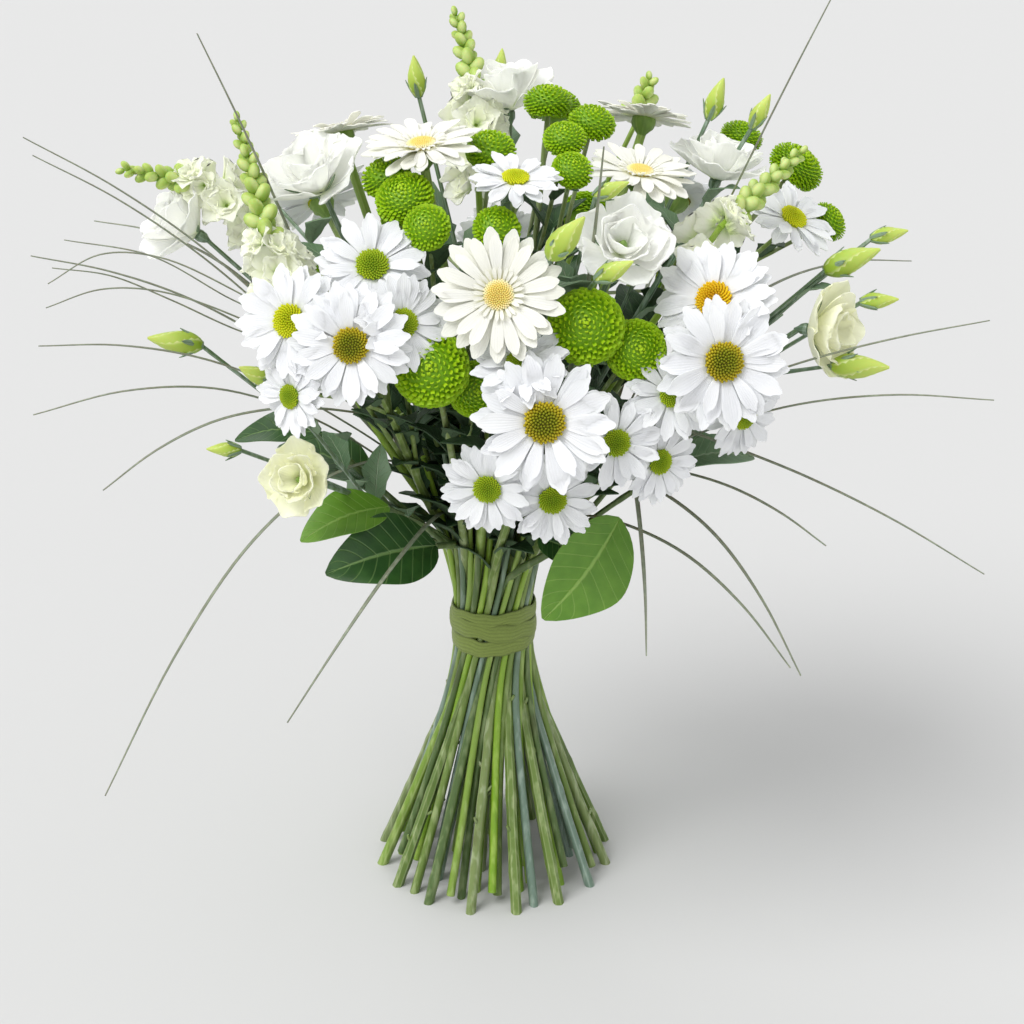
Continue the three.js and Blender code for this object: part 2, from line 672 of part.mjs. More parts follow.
/** Bends stems of different plants clear of each other and of the heads, a little at a time. */
function easeApart(plants) {
  const pieces = [];
  plants.forEach((plant, owner) => {
    for (const strand of plant.strands) {
      for (let i = 0; i + 1 < strand.points.length; i += 1) pieces.push({ owner, strand, i });
    }
    for (const ball of plant.balls) pieces.push({ owner, ball });
  });
  const endsOf = ({ strand, i, ball }) => {
    return ball ? [ball.at, ball.at] : [strand.points[i], strand.points[i + 1]];
  };
  const thickness = ({ strand, i, ball }) => {
    return ball ? ball.radius : Math.max(strand.radii[i], strand.radii[i + 1]);
  };
  const push = ({ strand, i, ball }, share, by) => {
    if (ball) return;
    if (strand.free[i]) strand.moves[i].addScaledVector(by, 1 - share);
    if (strand.free[i + 1]) strand.moves[i + 1].addScaledVector(by, share);
  };
  for (let round = 0; round < EASING_ROUNDS; round += 1) {
    for (const { strands } of plants) {
      for (const strand of strands) strand.moves = strand.points.map(() => new THREE.Vector3());
    }
    for (let m = 0; m < pieces.length; m += 1) {
      const [a, b] = endsOf(pieces[m]);
      for (let n = m + 1; n < pieces.length; n += 1) {
        if (pieces[m].owner === pieces[n].owner || (pieces[m].ball && pieces[n].ball)) continue;
        const [c, d] = endsOf(pieces[n]);
        const wanted = thickness(pieces[m]) + thickness(pieces[n]) + 2 * GAP;
        const slack = wanted + a.distanceTo(b) + c.distanceTo(d);
        if (a.distanceToSquared(c) > slack * slack) continue;
        const { s, t, apart } = nearest(a, b, c, d);
        const short = wanted - apart.length();
        if (short <= 0) continue;
        apart.normalize().multiplyScalar(0.5 * short);
        push(pieces[m], s, apart);
        push(pieces[n], t, apart.clone().negate());
      }
    }
    for (const { strands } of plants) {
      for (const strand of strands) {
        strand.points.forEach((point, i) => {
          if (!strand.free[i]) return;
          const between = strand.points[i - 1].clone().add(strand.points[i + 1]).multiplyScalar(0.5);
          strand.moves[i].addScaledVector(between.sub(point), STRAIGHTENING);
        });
        strand.points.forEach((point, i) => point.add(strand.moves[i].clampLength(0, EASING_STEP)));
        if (strand.from) strand.points[0].copy(strand.from.main.points[strand.from.root]);
      }
    }
  }
}

// ---------------------------------------------------------------- plants: one stem of the bunch each

const discRadius = ({ across }) => 0.145 * across;
const cupDepth = ({ across }) => 0.2 * across;

/** Stem end that meets a head from below, sunk a little into it. */
const endBelow = (head, depth) => ({
  at: vec(head.at).addScaledVector(vec(head.faces).normalize(), -depth),
  faces: vec(head.faces).normalize(),
});

const placed = (head, n) => standing(vec(head.at), vec(head.faces), 2 * Math.PI * spread(n));

/** A plant of the bunch: its stem ends, what grows on them, and balls that other stems go round. */
function plant(kind, name, lead, ends, heads, balls) {
  return { kind, name, lead: vec(lead), ends, heads, balls, strands: [] };
}

/** Spray or single bloom whose calyx and disc are grown on the stem. */
function bloomPlant(kind, name, blooms) {
  const ends = blooms.map((bloom) => endBelow(bloom, cupDepth(bloom) - 1));
  const heads = blooms.map((bloom, n) => (pad) => {
    const head = calyxAndDisc(bloom.across, discRadius(bloom), pad, !bloom.gold);
    return head.transform(placed(bloom, n).elements);
  });
  const balls = blooms.map((bloom) => ({ at: endBelow(bloom, 2).at, radius: 0.16 * bloom.across }));
  return plant(kind, name, blooms[0].at, ends, heads, balls);
}

/** Spray of button chrysanthemums. */
function pompomPlant({ name, balls }) {
  const ends = balls.map((ball) => endBelow(ball, 0.28 * ball.across));
  const heads = balls.map((ball, n) => (pad) => {
    return pompom(ball.across, pad).transform(placed(ball, n).elements);
  });
  const round = balls.map((ball) => ({ at: vec(ball.at), radius: 0.46 * ball.across }));
  return plant('pompom', `pompom_spray_${name}`, balls[0].at, ends, heads, round);
}

/** Stem of lisianthus with the cups of its flowers and its buds. */
function lisianthusPlant({ name, flowers, buds }) {
  const ends = flowers.map((flower) => endBelow(flower, 0.14 * flower.across - 1));
  const heads = flowers.map((flower, n) => (pad) => {
    const cup = calyxAndDisc(0.7 * flower.across, 4, pad, false);
    return cup.transform(placed(flower, n).elements);
  });
  const balls = flowers.map((flower) => ({ at: endBelow(flower, -3).at, radius: 0.16 * flower.across }));
  buds.forEach((one, n) => {
    const whole = { at: one.at, faces: one.points };
    const base = endBelow(whole, one.length / 2);
    ends.push({ at: base.at.clone().addScaledVector(base.faces, 1), faces: base.faces });
    heads.push((pad) => bud(one.length, pad).transform(standing(base.at, base.faces, n).elements));
    balls.push({ at: vec(one.at), radius: 0.24 * one.length });
  });
  return plant('lisianthus', `lisianthus_${name}`, flowers[0].at, ends, heads, balls);
}

/** Spike of a snapdragon: rows of buds that stand out of it in turn and shrink towards the tip. */
function spike(stops, pad) {
  const curve = new THREE.CatmullRomCurve3(stops.map(vec));
  const rows = 2 * Math.round(curve.getLength() / 8) + 1;
  const points = curve.getPoints(rows);
  const radii = points.map((_, i) => 4.6 - 2.6 * (i / rows));
  return tube(points, radii, SPIKE_COLUMNS, pad, (row, column) => {
    if (row === rows) return 0.3;
    return (row + column) % 2 === 0 ? 1 : 0.5;
  });
}

/** Snapdragon: spikes of buds at the ends of its stems. */
function snapdragonPlant({ name, spikes }) {
  const ends = spikes.map(([first, second]) => ({
    at: vec(second).sub(vec(first)).normalize().add(vec(first)),
    faces: vec(second).sub(vec(first)).normalize(),
  }));
  const heads = spikes.map((stops) => (pad) => spike(stops, pad));
  const balls = spikes.flat().map((stop) => ({ at: vec(stop), radius: 5 }));
  return plant('snapdragon', `snapdragon_${name}`, spikes[0][0], ends, heads, balls);
}

/** Broad leaf folded along its rib, drooping to a drawn-out tip. */
function leaf({ root, tip, up, width }, pad) {
  const from = vec(root);
  const along = vec(tip).sub(from);
  const length = along.length();
  along.normalize();
  const beside = new THREE.Vector3().crossVectors(vec(up), along).normalize();
  const above = new THREE.Vector3().crossVectors(along, beside);
  const surface = (u, v) => {
    const side = 2 * u - 1;
    const share = THREE.MathUtils.clamp(v, 0, 1);
    const swell = Math.max(Math.sin(Math.PI * share ** 0.85), 0) ** 0.8;
    const half = (width / 2) * (0.07 + 0.93 * swell);
    const lift = 0.13 * length * Math.sin(Math.PI * share) + 0.24 * half * Math.abs(side) - 0.05 * half;
    const point = from.clone().addScaledVector(along, length * v);
    return point.addScaledVector(beside, side * half).addScaledVector(above, lift);
  };
  return blade(surface, 4, 2, LEAF_THICK, pad, 0.02);
}

/** Leafy stem with its leaves at the ends of short stalks. */
function leafyPlant({ name, leaves }) {
  const ends = leaves.map(({ root, tip }) => {
    const faces = vec(tip).sub(vec(root)).normalize();
    return { at: vec(root).addScaledVector(faces, 1.2), faces };
  });
  const heads = leaves.map((one) => (pad) => leaf(one, pad));
  const balls = leaves.map(({ root }) => ({ at: vec(root), radius: 3 }));
  return plant('leafy', `leafy_stem_${name}`, leaves[0].tip, ends, heads, balls);
}

/** Bundle of bear grass whose blades part at the top of the bundle. */
function grassPlant({ name, root, blades }) {
  const ends = [{ at: vec(root), faces: vec(root).sub(new THREE.Vector3(0, 0, TIE_HEIGHT)).normalize() }];
  return { ...plant('grass', `bear_grass_${name}`, root, ends, [], []), blades };
}

const plants = [
  ...DAISY_SPRAYS.map(({ name, blooms }) => bloomPlant('daisy', `daisy_spray_${name}`, blooms)),
  ...GERBERAS.map((bloom, n) => bloomPlant('gerbera', `gerbera_stem_${n + 1}`, [bloom])),
  ...POMPOM_SPRAYS.map(pompomPlant),
  ...LISIANTHUS.map(lisianthusPlant),
  ...SNAPDRAGONS.map(snapdragonPlant),
  ...LEAFY_STEMS.map(leafyPlant),
  ...GRASS.map(grassPlant),
];

giveSlots(plants);
for (const one of plants) {
  one.strands.push(mainStem(one));
  one.ends.slice(1).forEach((end, n) => one.strands.push(sideStem(one, end, n)));
  (one.blades ?? []).forEach((stops, n) => one.strands.push(grassBlade(one, stops, n)));
}
easeApart(plants);

// ---------------------------------------------------------------- the pieces, firmest first

const PLANT_FINISHES = {
  daisy: STEM_GREEN,
  gerbera: STEM_GREEN,
  pompom: POMPOM_GREEN,
  lisianthus: SPIKE_GREEN,
  snapdragon: SPIKE_GREEN,
  leafy: LEAF_GREEN,
  grass: GRASS_GREEN,
};

/** Raffia tie: three flat turns, one over the other, closed into a ring. */
function tie(pad) {
  const turns = 3;
  const step = (TIE_BAND + 2 * pad) / turns;
  const low = -TIE_BAND / 2 - pad;
  const profile = [new THREE.Vector2(TIE_INNER - pad, low)];
  for (let k = 0; k < turns; k += 1) {
    const base = low + k * step;
    profile.push(new THREE.Vector2(TIE_OUTER - 0.6 + pad, base + 0.1 * step));
    profile.push(new THREE.Vector2(TIE_OUTER + pad, base + 0.6 * step));
  }
  profile.push(new THREE.Vector2(TIE_OUTER - 0.4 + pad, -low));
  profile.push(new THREE.Vector2(TIE_INNER - pad, -low), profile[0].clone());
  return solid(new THREE.LatheGeometry(profile, 15).rotateX(Math.PI / 2).translate(0, 0, TIE_HEIGHT));
}

/** Stems of a plant with everything that grows on them. */
function plantSolid({ strands, heads }, pad) {
  const stems = strands.map(({ points, radii, sides }) => tube(points, radii, sides, pad));
  return joined([...stems, ...heads.map((head) => head(pad))]);
}

/** White petals of one daisy. */
function daisyPetals(bloom, n, pad) {
  const { across, petals } = bloom;
  const plate = petalPlate({
    petals,
    reach: across / 2,
    hub: 0.15 * across,
    width: (2.5 * across) / petals * (petals > 11 ? 0.86 : 0.8),
    rise: 0.07 * across,
    seed: n,
    blunt: across > 49,
  }, pad);
  return plate.transform(placed(bloom, n).elements);
}

/** Broad gerbera petals: one layer, or a shorter second one above it, turned by half a petal. */
function gerberaPetals(bloom, pad) {
  const { across, layers = 1 } = bloom;
  const petals = 12;
  const place = placed(bloom, 0).elements;
  const whole = { petals, reach: across / 2, hub: 0.19 * across, width: 0.2 * across, seed: 0 };
  const outer = { ...whole, rise: 0.06 * across, blunt: layers > 1 };
  const lower = petalPlate(outer, pad);
  if (layers === 1) return lower.transform(place);
  const inner = { ...whole, reach: 0.4 * across, width: 0.16 * across, rise: 0.09 * across, blunt: false };
  const step = PETAL_THICK + GAP;
  const upper = petalPlate(inner, pad).rotate([0, 0, 180 / petals]).translate([0, 0, step]);
  const heart = new THREE.CylinderGeometry(0.14 * across, 0.14 * across, step, 6).rotateX(Math.PI / 2);
  const core = solid(heart.translate(0, 0, PETAL_THICK / 2 + step / 2));
  return joined([lower, core, upper]).transform(place);
}

const pieces = [{ name: 'raffia_tie', material: RAFFIA, make: tie }];
for (const one of plants) {
  pieces.push({ name: one.name, material: PLANT_FINISHES[one.kind], make: (pad) => plantSolid(one, pad) });
}
for (const { name, blooms } of DAISY_SPRAYS) {
  blooms.forEach((bloom, n) => {
    if (!bloom.gold) return;
    const make = (pad) => goldDisc(discRadius(bloom), pad).transform(placed(bloom, n).elements);
    pieces.push({ name: `daisy_disc_${name}_${n + 1}`, material: DISC_GOLD, make });
  });
}
GERBERAS.forEach((bloom, n) => {
  if (!bloom.gold) return;
  const make = (pad) => goldDisc(discRadius(bloom), pad).transform(placed(bloom, 0).elements);
  pieces.push({ name: `gerbera_disc_${n + 1}`, material: DISC_PALE, make });
});
GERBERAS.forEach((bloom, n) => {
  pieces.push({
    name: `gerbera_petals_${n + 1}`,
    material: PETAL_CREAM,
    make: (pad) => gerberaPetals(bloom, pad),
  });
});
for (const { name, blooms } of DAISY_SPRAYS) {
  PETAL_GROUPS[name].forEach((members, g) => {
    const make = (pad) => joined(members.map((n) => daisyPetals(blooms[n], n, pad)));
    pieces.push({ name: `daisy_petals_${name}_${g + 1}`, material: PETAL_WHITE, make });
  });
}
for (const { name, flowers } of LISIANTHUS) {
  flowers.forEach((flower, n) => {
    const make = (pad) => lisianthusFlower(flower.across, n, pad).transform(placed(flower, n).elements);
    pieces.push({ name: `lisianthus_flower_${name}_${n + 1}`, material: PETAL_CREAM, make });
  });
}

/** Mesh geometry of a finished solid, without the slivers that a cut leaves. */
function geometryOf(body) {
  const { vertProperties, triVerts } = body.simplify(SLIVER).getMesh();
  const geometry = new THREE.BufferGeometry();
  geometry.setAttribute('position', new THREE.BufferAttribute(vertProperties, 3));
  geometry.setIndex(new THREE.BufferAttribute(triVerts, 1));
  return geometry;
}

const meets = (a, b) => [0, 1, 2].every((k) => a.min[k] < b.max[k] && b.min[k] < a.max[k]);

/** Cuts each piece clear of the firmer ones before it, and drops scraps that the cuts leave. */
function bunchOf(list) {
  const bunch = new THREE.Group();
  const taken = [];
  for (const { name, material, make } of list) {
    let body = make(0);
    const near = taken.filter((other) => meets(other.boundingBox(), body.boundingBox()));
    for (const other of near) body = body.subtract(other);
    const [whole] = body.decompose().sort((a, b) => b.volume() - a.volume());
    taken.push(make(GAP));
    const mesh = new THREE.Mesh(geometryOf(whole), material);
    mesh.name = name;
    bunch.add(mesh);
  }
  return bunch;
}

export default bunchOf(pieces);
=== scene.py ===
"""Looks of a hand-tied bunch of white daisies that stands on its own cut ends.

The frame holds the plain solids of the bunch. Each of them is replaced here by finer pieces: ribbed
stems, layered petals, discs of packed florets, button blooms, twisted buds, veined leaves, creased
blades of grass and a tie of folded raffia. The stems take the routes of the solids: a spiral through
the tie, bent clear of each other above it. Everything is in metres, +Z up, -Y to the front.
"""

from __future__ import annotations

import logging
import math
from dataclasses import dataclass, field, replace
from enum import Enum
from typing import Callable, Iterable, Sequence

import bpy
import numpy as np
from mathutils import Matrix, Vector


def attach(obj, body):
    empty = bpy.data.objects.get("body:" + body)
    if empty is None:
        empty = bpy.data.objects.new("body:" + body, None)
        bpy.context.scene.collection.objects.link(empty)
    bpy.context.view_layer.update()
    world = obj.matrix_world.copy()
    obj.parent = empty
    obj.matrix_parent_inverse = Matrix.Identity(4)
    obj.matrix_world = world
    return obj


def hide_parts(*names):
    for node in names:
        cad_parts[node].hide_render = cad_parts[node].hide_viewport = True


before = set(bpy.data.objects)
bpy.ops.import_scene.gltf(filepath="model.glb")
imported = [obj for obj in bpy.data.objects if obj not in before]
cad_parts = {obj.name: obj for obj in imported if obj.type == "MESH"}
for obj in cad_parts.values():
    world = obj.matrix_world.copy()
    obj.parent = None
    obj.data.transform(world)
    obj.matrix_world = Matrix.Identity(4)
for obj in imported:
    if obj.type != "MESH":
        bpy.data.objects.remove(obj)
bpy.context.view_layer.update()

LOG = logging.getLogger("bunch")
Array = np.ndarray
Random = np.random.Generator
Triple = tuple[float, float, float]

# ---------------------------------------------------------------- driving dimensions, as in the solids

TIE_HEIGHT = 0.138
TIE_INNER = 0.0203
FOOT_RADIUS = 0.060
RING_STEP = 0.0047
RINGS = (1, 5, 11, 16)
TWIST = 0.6
TWIST_REACH = 0.045
NECK = 0.026
FOOT_SWELL = 1.16
GAP = 0.0003
EASING_ROUNDS = 60
EASING_STEP = 0.003
STRAIGHTENING = 0.04
SPIKE_OVERLAP = 0.001
SPIKE_BALL = 0.005
LEAF_OVERLAP = 0.0012
LEAF_BALL = 0.003

# ---------------------------------------------------------------- numbers of the scene alone

STEM_STEPS = 90
TWIG_STEPS = 24
SLIM_STEPS = 48
BLADE_STEPS = 36
CUP_STEPS = 8
GOLDEN = 0.618034
GOLDEN_ANGLE = math.pi * (3 - math.sqrt(5))
SEED = 7


class Kind(Enum):
    """The plants of the bunch, by the start of their nodes' names."""

    DAISY = "daisy_spray"
    GERBERA = "gerbera_stem"
    POMPOM = "pompom_spray"
    LISIANTHUS = "lisianthus"
    SNAPDRAGON = "snapdragon"
    LEAFY = "leafy_stem"
    GRASS = "bear_grass"


@dataclass(frozen=True)
class StemSize:
    """Radii of a plant's stems: the main one at the tie and at its end, and the side ones."""

    tie: float
    end: float
    twig: float


STEM_SIZES = {
    Kind.DAISY: StemSize(0.0023, 0.0013, 0.0011),
    Kind.GERBERA: StemSize(0.0024, 0.0021, 0.0012),
    Kind.POMPOM: StemSize(0.0022, 0.0012, 0.0010),
    Kind.LISIANTHUS: StemSize(0.0020, 0.0012, 0.0010),
    Kind.SNAPDRAGON: StemSize(0.0024, 0.0014, 0.0012),
    Kind.LEAFY: StemSize(0.0022, 0.0015, 0.0014),
    Kind.GRASS: StemSize(0.0023, 0.0018, 0.00055),
}


class DiscTone(Enum):
    """Ripeness of a daisy's disc: closed green florets open to gold from the rim inwards."""

    GREEN = 0
    YELLOW = 1
    OLIVE = 2
    GOLD = 3


class LeafTone(Enum):
    """Colour of a leaf's upper face."""

    DARK = "leaf_dark"
    BRIGHT = "leaf_bright"
    GREY = "leaf_grey"


@dataclass(frozen=True)
class Bloom:
    """A round head: its middle, the way it looks, its width, and its disc's ripeness.

    The disc of a gold bloom is a solid of its own.
    """

    at: Triple
    faces: Triple
    across: float
    tone: DiscTone = DiscTone.GREEN
    gold: bool = False


@dataclass(frozen=True)
class Bud:
    """A lisianthus bud: its middle, the way its tip looks, and its length."""

    at: Triple
    points: Triple
    length: float


@dataclass(frozen=True)
class LeafPlan:
    """A broad leaf: its root and tip, the side its upper face looks to, its width and its colour."""

    root: Triple
    tip: Triple
    up: Triple
    width: float
    tone: LeafTone = LeafTone.DARK


G, Y, O, D = DiscTone.GREEN, DiscTone.YELLOW, DiscTone.OLIVE, DiscTone.GOLD

DAISY_SPRAYS = {
    "left": (
        Bloom((-0.058, -0.134, 0.330), (-1, -19, 6), 0.052, O),
        Bloom((-0.084, -0.123, 0.337), (-6, -17, 7), 0.049, Y),
        Bloom((-0.050, -0.110, 0.357), (1, -12, 10), 0.048, G),
        Bloom((-0.037, -0.126, 0.337), (8, -16, 8), 0.042, G),
        Bloom((-0.084, -0.130, 0.306), (-11, -13, 2), 0.036, G),
    ),
    "front": (
        Bloom((0.023, -0.146, 0.300), (1, -19, 6), 0.060, O, gold=True),
        Bloom((0.013, -0.134, 0.321), (-2, -12, 14), 0.042, G),
        Bloom((-0.001, -0.126, 0.262), (-3, -19, 1), 0.042, G),
        Bloom((0.027, -0.124, 0.256), (2, -19, 1), 0.042, G),
    ),
    "front_right": (
        Bloom((0.054, -0.130, 0.285), (3, -19, 3), 0.041, G),
        Bloom((0.073, -0.122, 0.273), (9, -16, 2), 0.038, G),
        Bloom((0.078, -0.120, 0.303), (5, -17, 7), 0.041, G),
    ),
    "right": (
        Bloom((0.099, -0.126, 0.320), (4, -19, 6), 0.058, O, gold=True),
        Bloom((0.097, -0.104, 0.340), (-6, -14, 11), 0.054, D),
        Bloom((0.112, -0.094, 0.284), (11, -15, -3), 0.042, G),
    ),
    "top": (Bloom((0.011, -0.086, 0.388), (1, -5, 18), 0.040, Y),),
    "back_right": (
        Bloom((0.094, 0.076, 0.338), (8, 11, 11), 0.056, O),
        Bloom((0.140, -0.014, 0.351), (8, -8, 15), 0.044, Y),
    ),
    "back_left": (
        Bloom((-0.088, 0.078, 0.336), (-7, 11, 11), 0.056, Y),
        Bloom((0.004, 0.122, 0.300), (0, 18, 4), 0.050, G),
    ),
}

GERBERAS = (
    Bloom((0.004, -0.128, 0.350), (-1, -18, 8), 0.056, gold=True),
    Bloom((-0.030, -0.062, 0.397), (-2, -3, 19), 0.054),
    Bloom((-0.069, -0.012, 0.392), (-4, 6, 18), 0.046),
    Bloom((0.066, -0.058, 0.384), (2, -3, 19), 0.050),
    Bloom((0.072, 0.018, 0.392), (3, 7, 17), 0.046),
)

POMPOM_SPRAYS = {
    "front_left": (
        Bloom((-0.025, -0.124, 0.316), (-2, -17, 9), 0.032),
        Bloom((-0.006, -0.114, 0.303), (3, -18, 4), 0.024),
    ),
    "front_right": (
        Bloom((0.041, -0.118, 0.333), (-1, -17, 9), 0.032),
        Bloom((0.063, -0.114, 0.321), (4, -17, 7), 0.026),
    ),
    "top": (
        Bloom((0.026, -0.006, 0.405), (0, 0, 1), 0.022),
        Bloom((0.046, -0.022, 0.399), (2, -2, 9), 0.021),
        Bloom((0.033, -0.045, 0.397), (0, -3, 9), 0.019),
        Bloom((0.036, -0.066, 0.388), (2, -5, 8), 0.018),
    ),
    "top_left": (
        Bloom((-0.037, -0.084, 0.380), (-2, -5, 8), 0.025),
        Bloom((-0.046, -0.062, 0.384), (-3, -2, 8), 0.022),
        Bloom((-0.027, -0.098, 0.371), (-1, -8, 5), 0.020),
        Bloom((0.000, -0.050, 0.393), (0, -3, 9), 0.022),
        Bloom((0.003, -0.096, 0.370), (1, -7, 7), 0.020),
    ),
    "right": (
        Bloom((0.146, 0.024, 0.367), (6, 0, 8), 0.027),
        Bloom((0.120, 0.032, 0.380), (3, 1, 9), 0.020),
        Bloom((0.160, 0.002, 0.346), (8, -1, 6), 0.019),
    ),
    "back": (
        Bloom((-0.006, 0.092, 0.362), (0, 5, 8), 0.030),
        Bloom((-0.104, 0.088, 0.292), (-7, 7, 2), 0.028),
        Bloom((0.098, 0.092, 0.288), (6, 8, 2), 0.028),
        Bloom((0.030, 0.060, 0.388), (1, 3, 9), 0.026),
        Bloom((-0.044, 0.104, 0.322), (-3, 8, 5), 0.030),
        Bloom((0.050, 0.112, 0.318), (3, 8, 5), 0.030),
    ),
}

LISIANTHUS = {
    "left_low": (
        (Bloom((-0.084, -0.092, 0.252), (-6, -15, 6), 0.036),),
        (
            Bud((-0.147, -0.040, 0.300), (-9, -2, 2), 0.026),
            Bud((-0.103, -0.100, 0.305), (-7, -4, 5), 0.018),
            Bud((-0.123, -0.070, 0.258), (-9, -2, 1), 0.016),
        ),
    ),
    "left_high": (
        (
            Bloom((-0.076, -0.048, 0.374), (-5, -5, 12), 0.052),
            Bloom((-0.142, 0.010, 0.338), (-12, -3, 9), 0.052),
        ),
        (Bud((-0.120, 0.066, 0.352), (-6, 4, 8), 0.020),),
    ),
    "top": (
        (Bloom((0.008, 0.018, 0.396), (-1, 0, 12), 0.050),),
        (
            Bud((-0.036, 0.030, 0.409), (-1, 0, 9), 0.020),
            Bud((0.004, 0.044, 0.412), (1, 1, 9), 0.015),
        ),
    ),
    "middle": (
        (Bloom((0.056, -0.092, 0.358), (2, -10, 9), 0.046),),
        (
            Bud((0.032, -0.132, 0.376), (5, -3, 7), 0.026),
            Bud((0.052, -0.132, 0.362), (8, -3, 5), 0.019),
            Bud((0.052, -0.092, 0.386), (8, -2, 4), 0.017),
        ),
    ),
    "right_high": (
        (Bloom((0.106, 0.006, 0.366), (3, -1, 12), 0.046),),
        (
            Bud((0.106, 0.022, 0.400), (3, 0, 9), 0.021),
            Bud((0.125, 0.000, 0.399), (4, 0, 8), 0.018),
        ),
    ),
    "right_low": (
        (Bloom((0.148, -0.040, 0.306), (13, -8, 2), 0.048),),
        (
            Bud((0.168, -0.022, 0.334), (9, -1, 4), 0.028),
            Bud((0.186, -0.014, 0.344), (9, 0, 2), 0.018),
            Bud((0.180, -0.034, 0.318), (9, -1, 1), 0.018),
            Bud((0.170, -0.052, 0.292), (9, -1, 0), 0.027),
        ),
    ),
}

# each spike of buds runs through its points, from the first bud to the tip
SNAPDRAGONS = {
    "top": (
        ((-0.008, 0.008, 0.398), (-0.011, 0.022, 0.418), (-0.017, 0.035, 0.437)),
        ((0.070, 0.044, 0.384), (0.076, 0.046, 0.404)),
    ),
    "left": (((-0.096, -0.086, 0.352), (-0.102, -0.074, 0.380), (-0.111, -0.058, 0.408)),),
    "far_left": (((-0.134, 0.008, 0.362), (-0.152, 0.006, 0.366), (-0.173, 0.002, 0.371)),),
    "right": (((0.102, -0.060, 0.360), (0.122, -0.034, 0.370), (0.143, -0.008, 0.381)),),
}

# open florets below each plant's first spike
OPEN_FLORETS = {"top": 13, "left": 11, "far_left": 10, "right": 4}

LEAFY_STEMS = {
    "left": (
        LeafPlan((-0.026, -0.062, 0.206), (-0.076, -0.094, 0.206), (0, -8, 7), 0.036),
        LeafPlan((-0.048, -0.062, 0.226), (-0.088, -0.084, 0.218), (-2, -6, 8), 0.026, LeafTone.BRIGHT),
        LeafPlan((-0.080, -0.040, 0.254), (-0.122, -0.038, 0.250), (0, -4, 9), 0.020),
        LeafPlan((-0.058, -0.014, 0.216), (-0.106, 0.000, 0.232), (-3, 0, 9), 0.034),
    ),
    "right": (
        LeafPlan((0.060, -0.066, 0.222), (0.024, -0.088, 0.180), (6, -9, 5), 0.040, LeafTone.BRIGHT),
        LeafPlan((0.086, -0.052, 0.244), (0.124, -0.046, 0.244), (0, -3, 9), 0.022, LeafTone.GREY),
        LeafPlan((0.022, -0.052, 0.206), (0.050, -0.066, 0.198), (4, -8, 4), 0.018),
        LeafPlan((0.060, -0.008, 0.218), (0.110, 0.002, 0.236), (3, 0, 9), 0.034),
    ),
    "back": (
        LeafPlan((-0.014, 0.050, 0.214), (-0.052, 0.092, 0.214), (-3, 5, 8), 0.038),
        LeafPlan((0.014, 0.052, 0.208), (0.046, 0.094, 0.204), (3, 6, 7), 0.038),
        LeafPlan((0.006, 0.060, 0.240), (0.006, 0.114, 0.250), (0, -2, 9), 0.034),
    ),
}

# each blade leaves the head at its first point, bends past the second and ends at the third
GRASS = {
    "left": (
        (-0.062, -0.034, 0.262),
        (
            ((-0.090, -0.066, 0.366), (-0.104, -0.078, 0.410), (-0.122, -0.090, 0.452)),
            ((-0.112, -0.046, 0.352), (-0.166, -0.050, 0.386), (-0.206, -0.056, 0.400)),
            ((-0.124, -0.024, 0.350), (-0.170, -0.030, 0.378), (-0.206, -0.040, 0.388)),
            ((-0.116, -0.058, 0.330), (-0.170, -0.064, 0.352), (-0.204, -0.070, 0.350)),
            ((-0.114, -0.074, 0.318), (-0.166, -0.080, 0.324), (-0.200, -0.088, 0.314)),
            ((-0.116, -0.048, 0.314), (-0.160, -0.066, 0.304), (-0.206, -0.084, 0.280)),
            ((-0.112, -0.090, 0.296), (-0.150, -0.096, 0.282), (-0.172, -0.110, 0.254)),
            ((-0.090, -0.060, 0.262), (-0.142, -0.100, 0.216), (-0.178, -0.130, 0.110)),
            ((-0.030, -0.112, 0.248), (-0.056, -0.138, 0.212), (-0.090, -0.152, 0.160)),
            ((-0.118, 0.030, 0.330), (-0.166, 0.044, 0.346), (-0.200, 0.060, 0.330)),
            ((-0.082, 0.096, 0.300), (-0.112, 0.132, 0.296), (-0.130, 0.160, 0.262)),
            ((-0.030, 0.120, 0.340), (-0.034, 0.146, 0.350), (-0.040, 0.176, 0.336)),
        ),
    ),
    "right": (
        (0.064, -0.030, 0.262),
        (
            ((0.112, -0.034, 0.372), (0.130, -0.046, 0.424), (0.148, -0.058, 0.464)),
            ((0.118, -0.078, 0.308), (0.174, -0.074, 0.316), (0.224, -0.070, 0.320)),
            ((0.122, -0.070, 0.298), (0.182, -0.084, 0.304), (0.224, -0.092, 0.290)),
            ((0.116, -0.084, 0.262), (0.178, -0.100, 0.252), (0.222, -0.112, 0.214)),
            ((0.098, -0.090, 0.250), (0.124, -0.110, 0.224), (0.140, -0.126, 0.170)),
            ((0.084, -0.100, 0.244), (0.118, -0.120, 0.216), (0.134, -0.134, 0.178)),
            ((0.066, -0.092, 0.236), (0.074, -0.112, 0.212), (0.070, -0.126, 0.180)),
            ((0.104, -0.076, 0.256), (0.134, -0.100, 0.246), (0.150, -0.112, 0.228)),
            ((0.046, -0.104, 0.350), (0.048, -0.108, 0.380), (0.048, -0.106, 0.408)),
            ((0.128, 0.024, 0.326), (0.176, 0.044, 0.330), (0.212, 0.064, 0.308)),
            ((0.092, 0.098, 0.300), (0.124, 0.132, 0.292), (0.146, 0.160, 0.256)),
            ((0.034, 0.124, 0.330), (0.040, 0.152, 0.338), (0.050, 0.180, 0.322)),
        ),
    ),
}

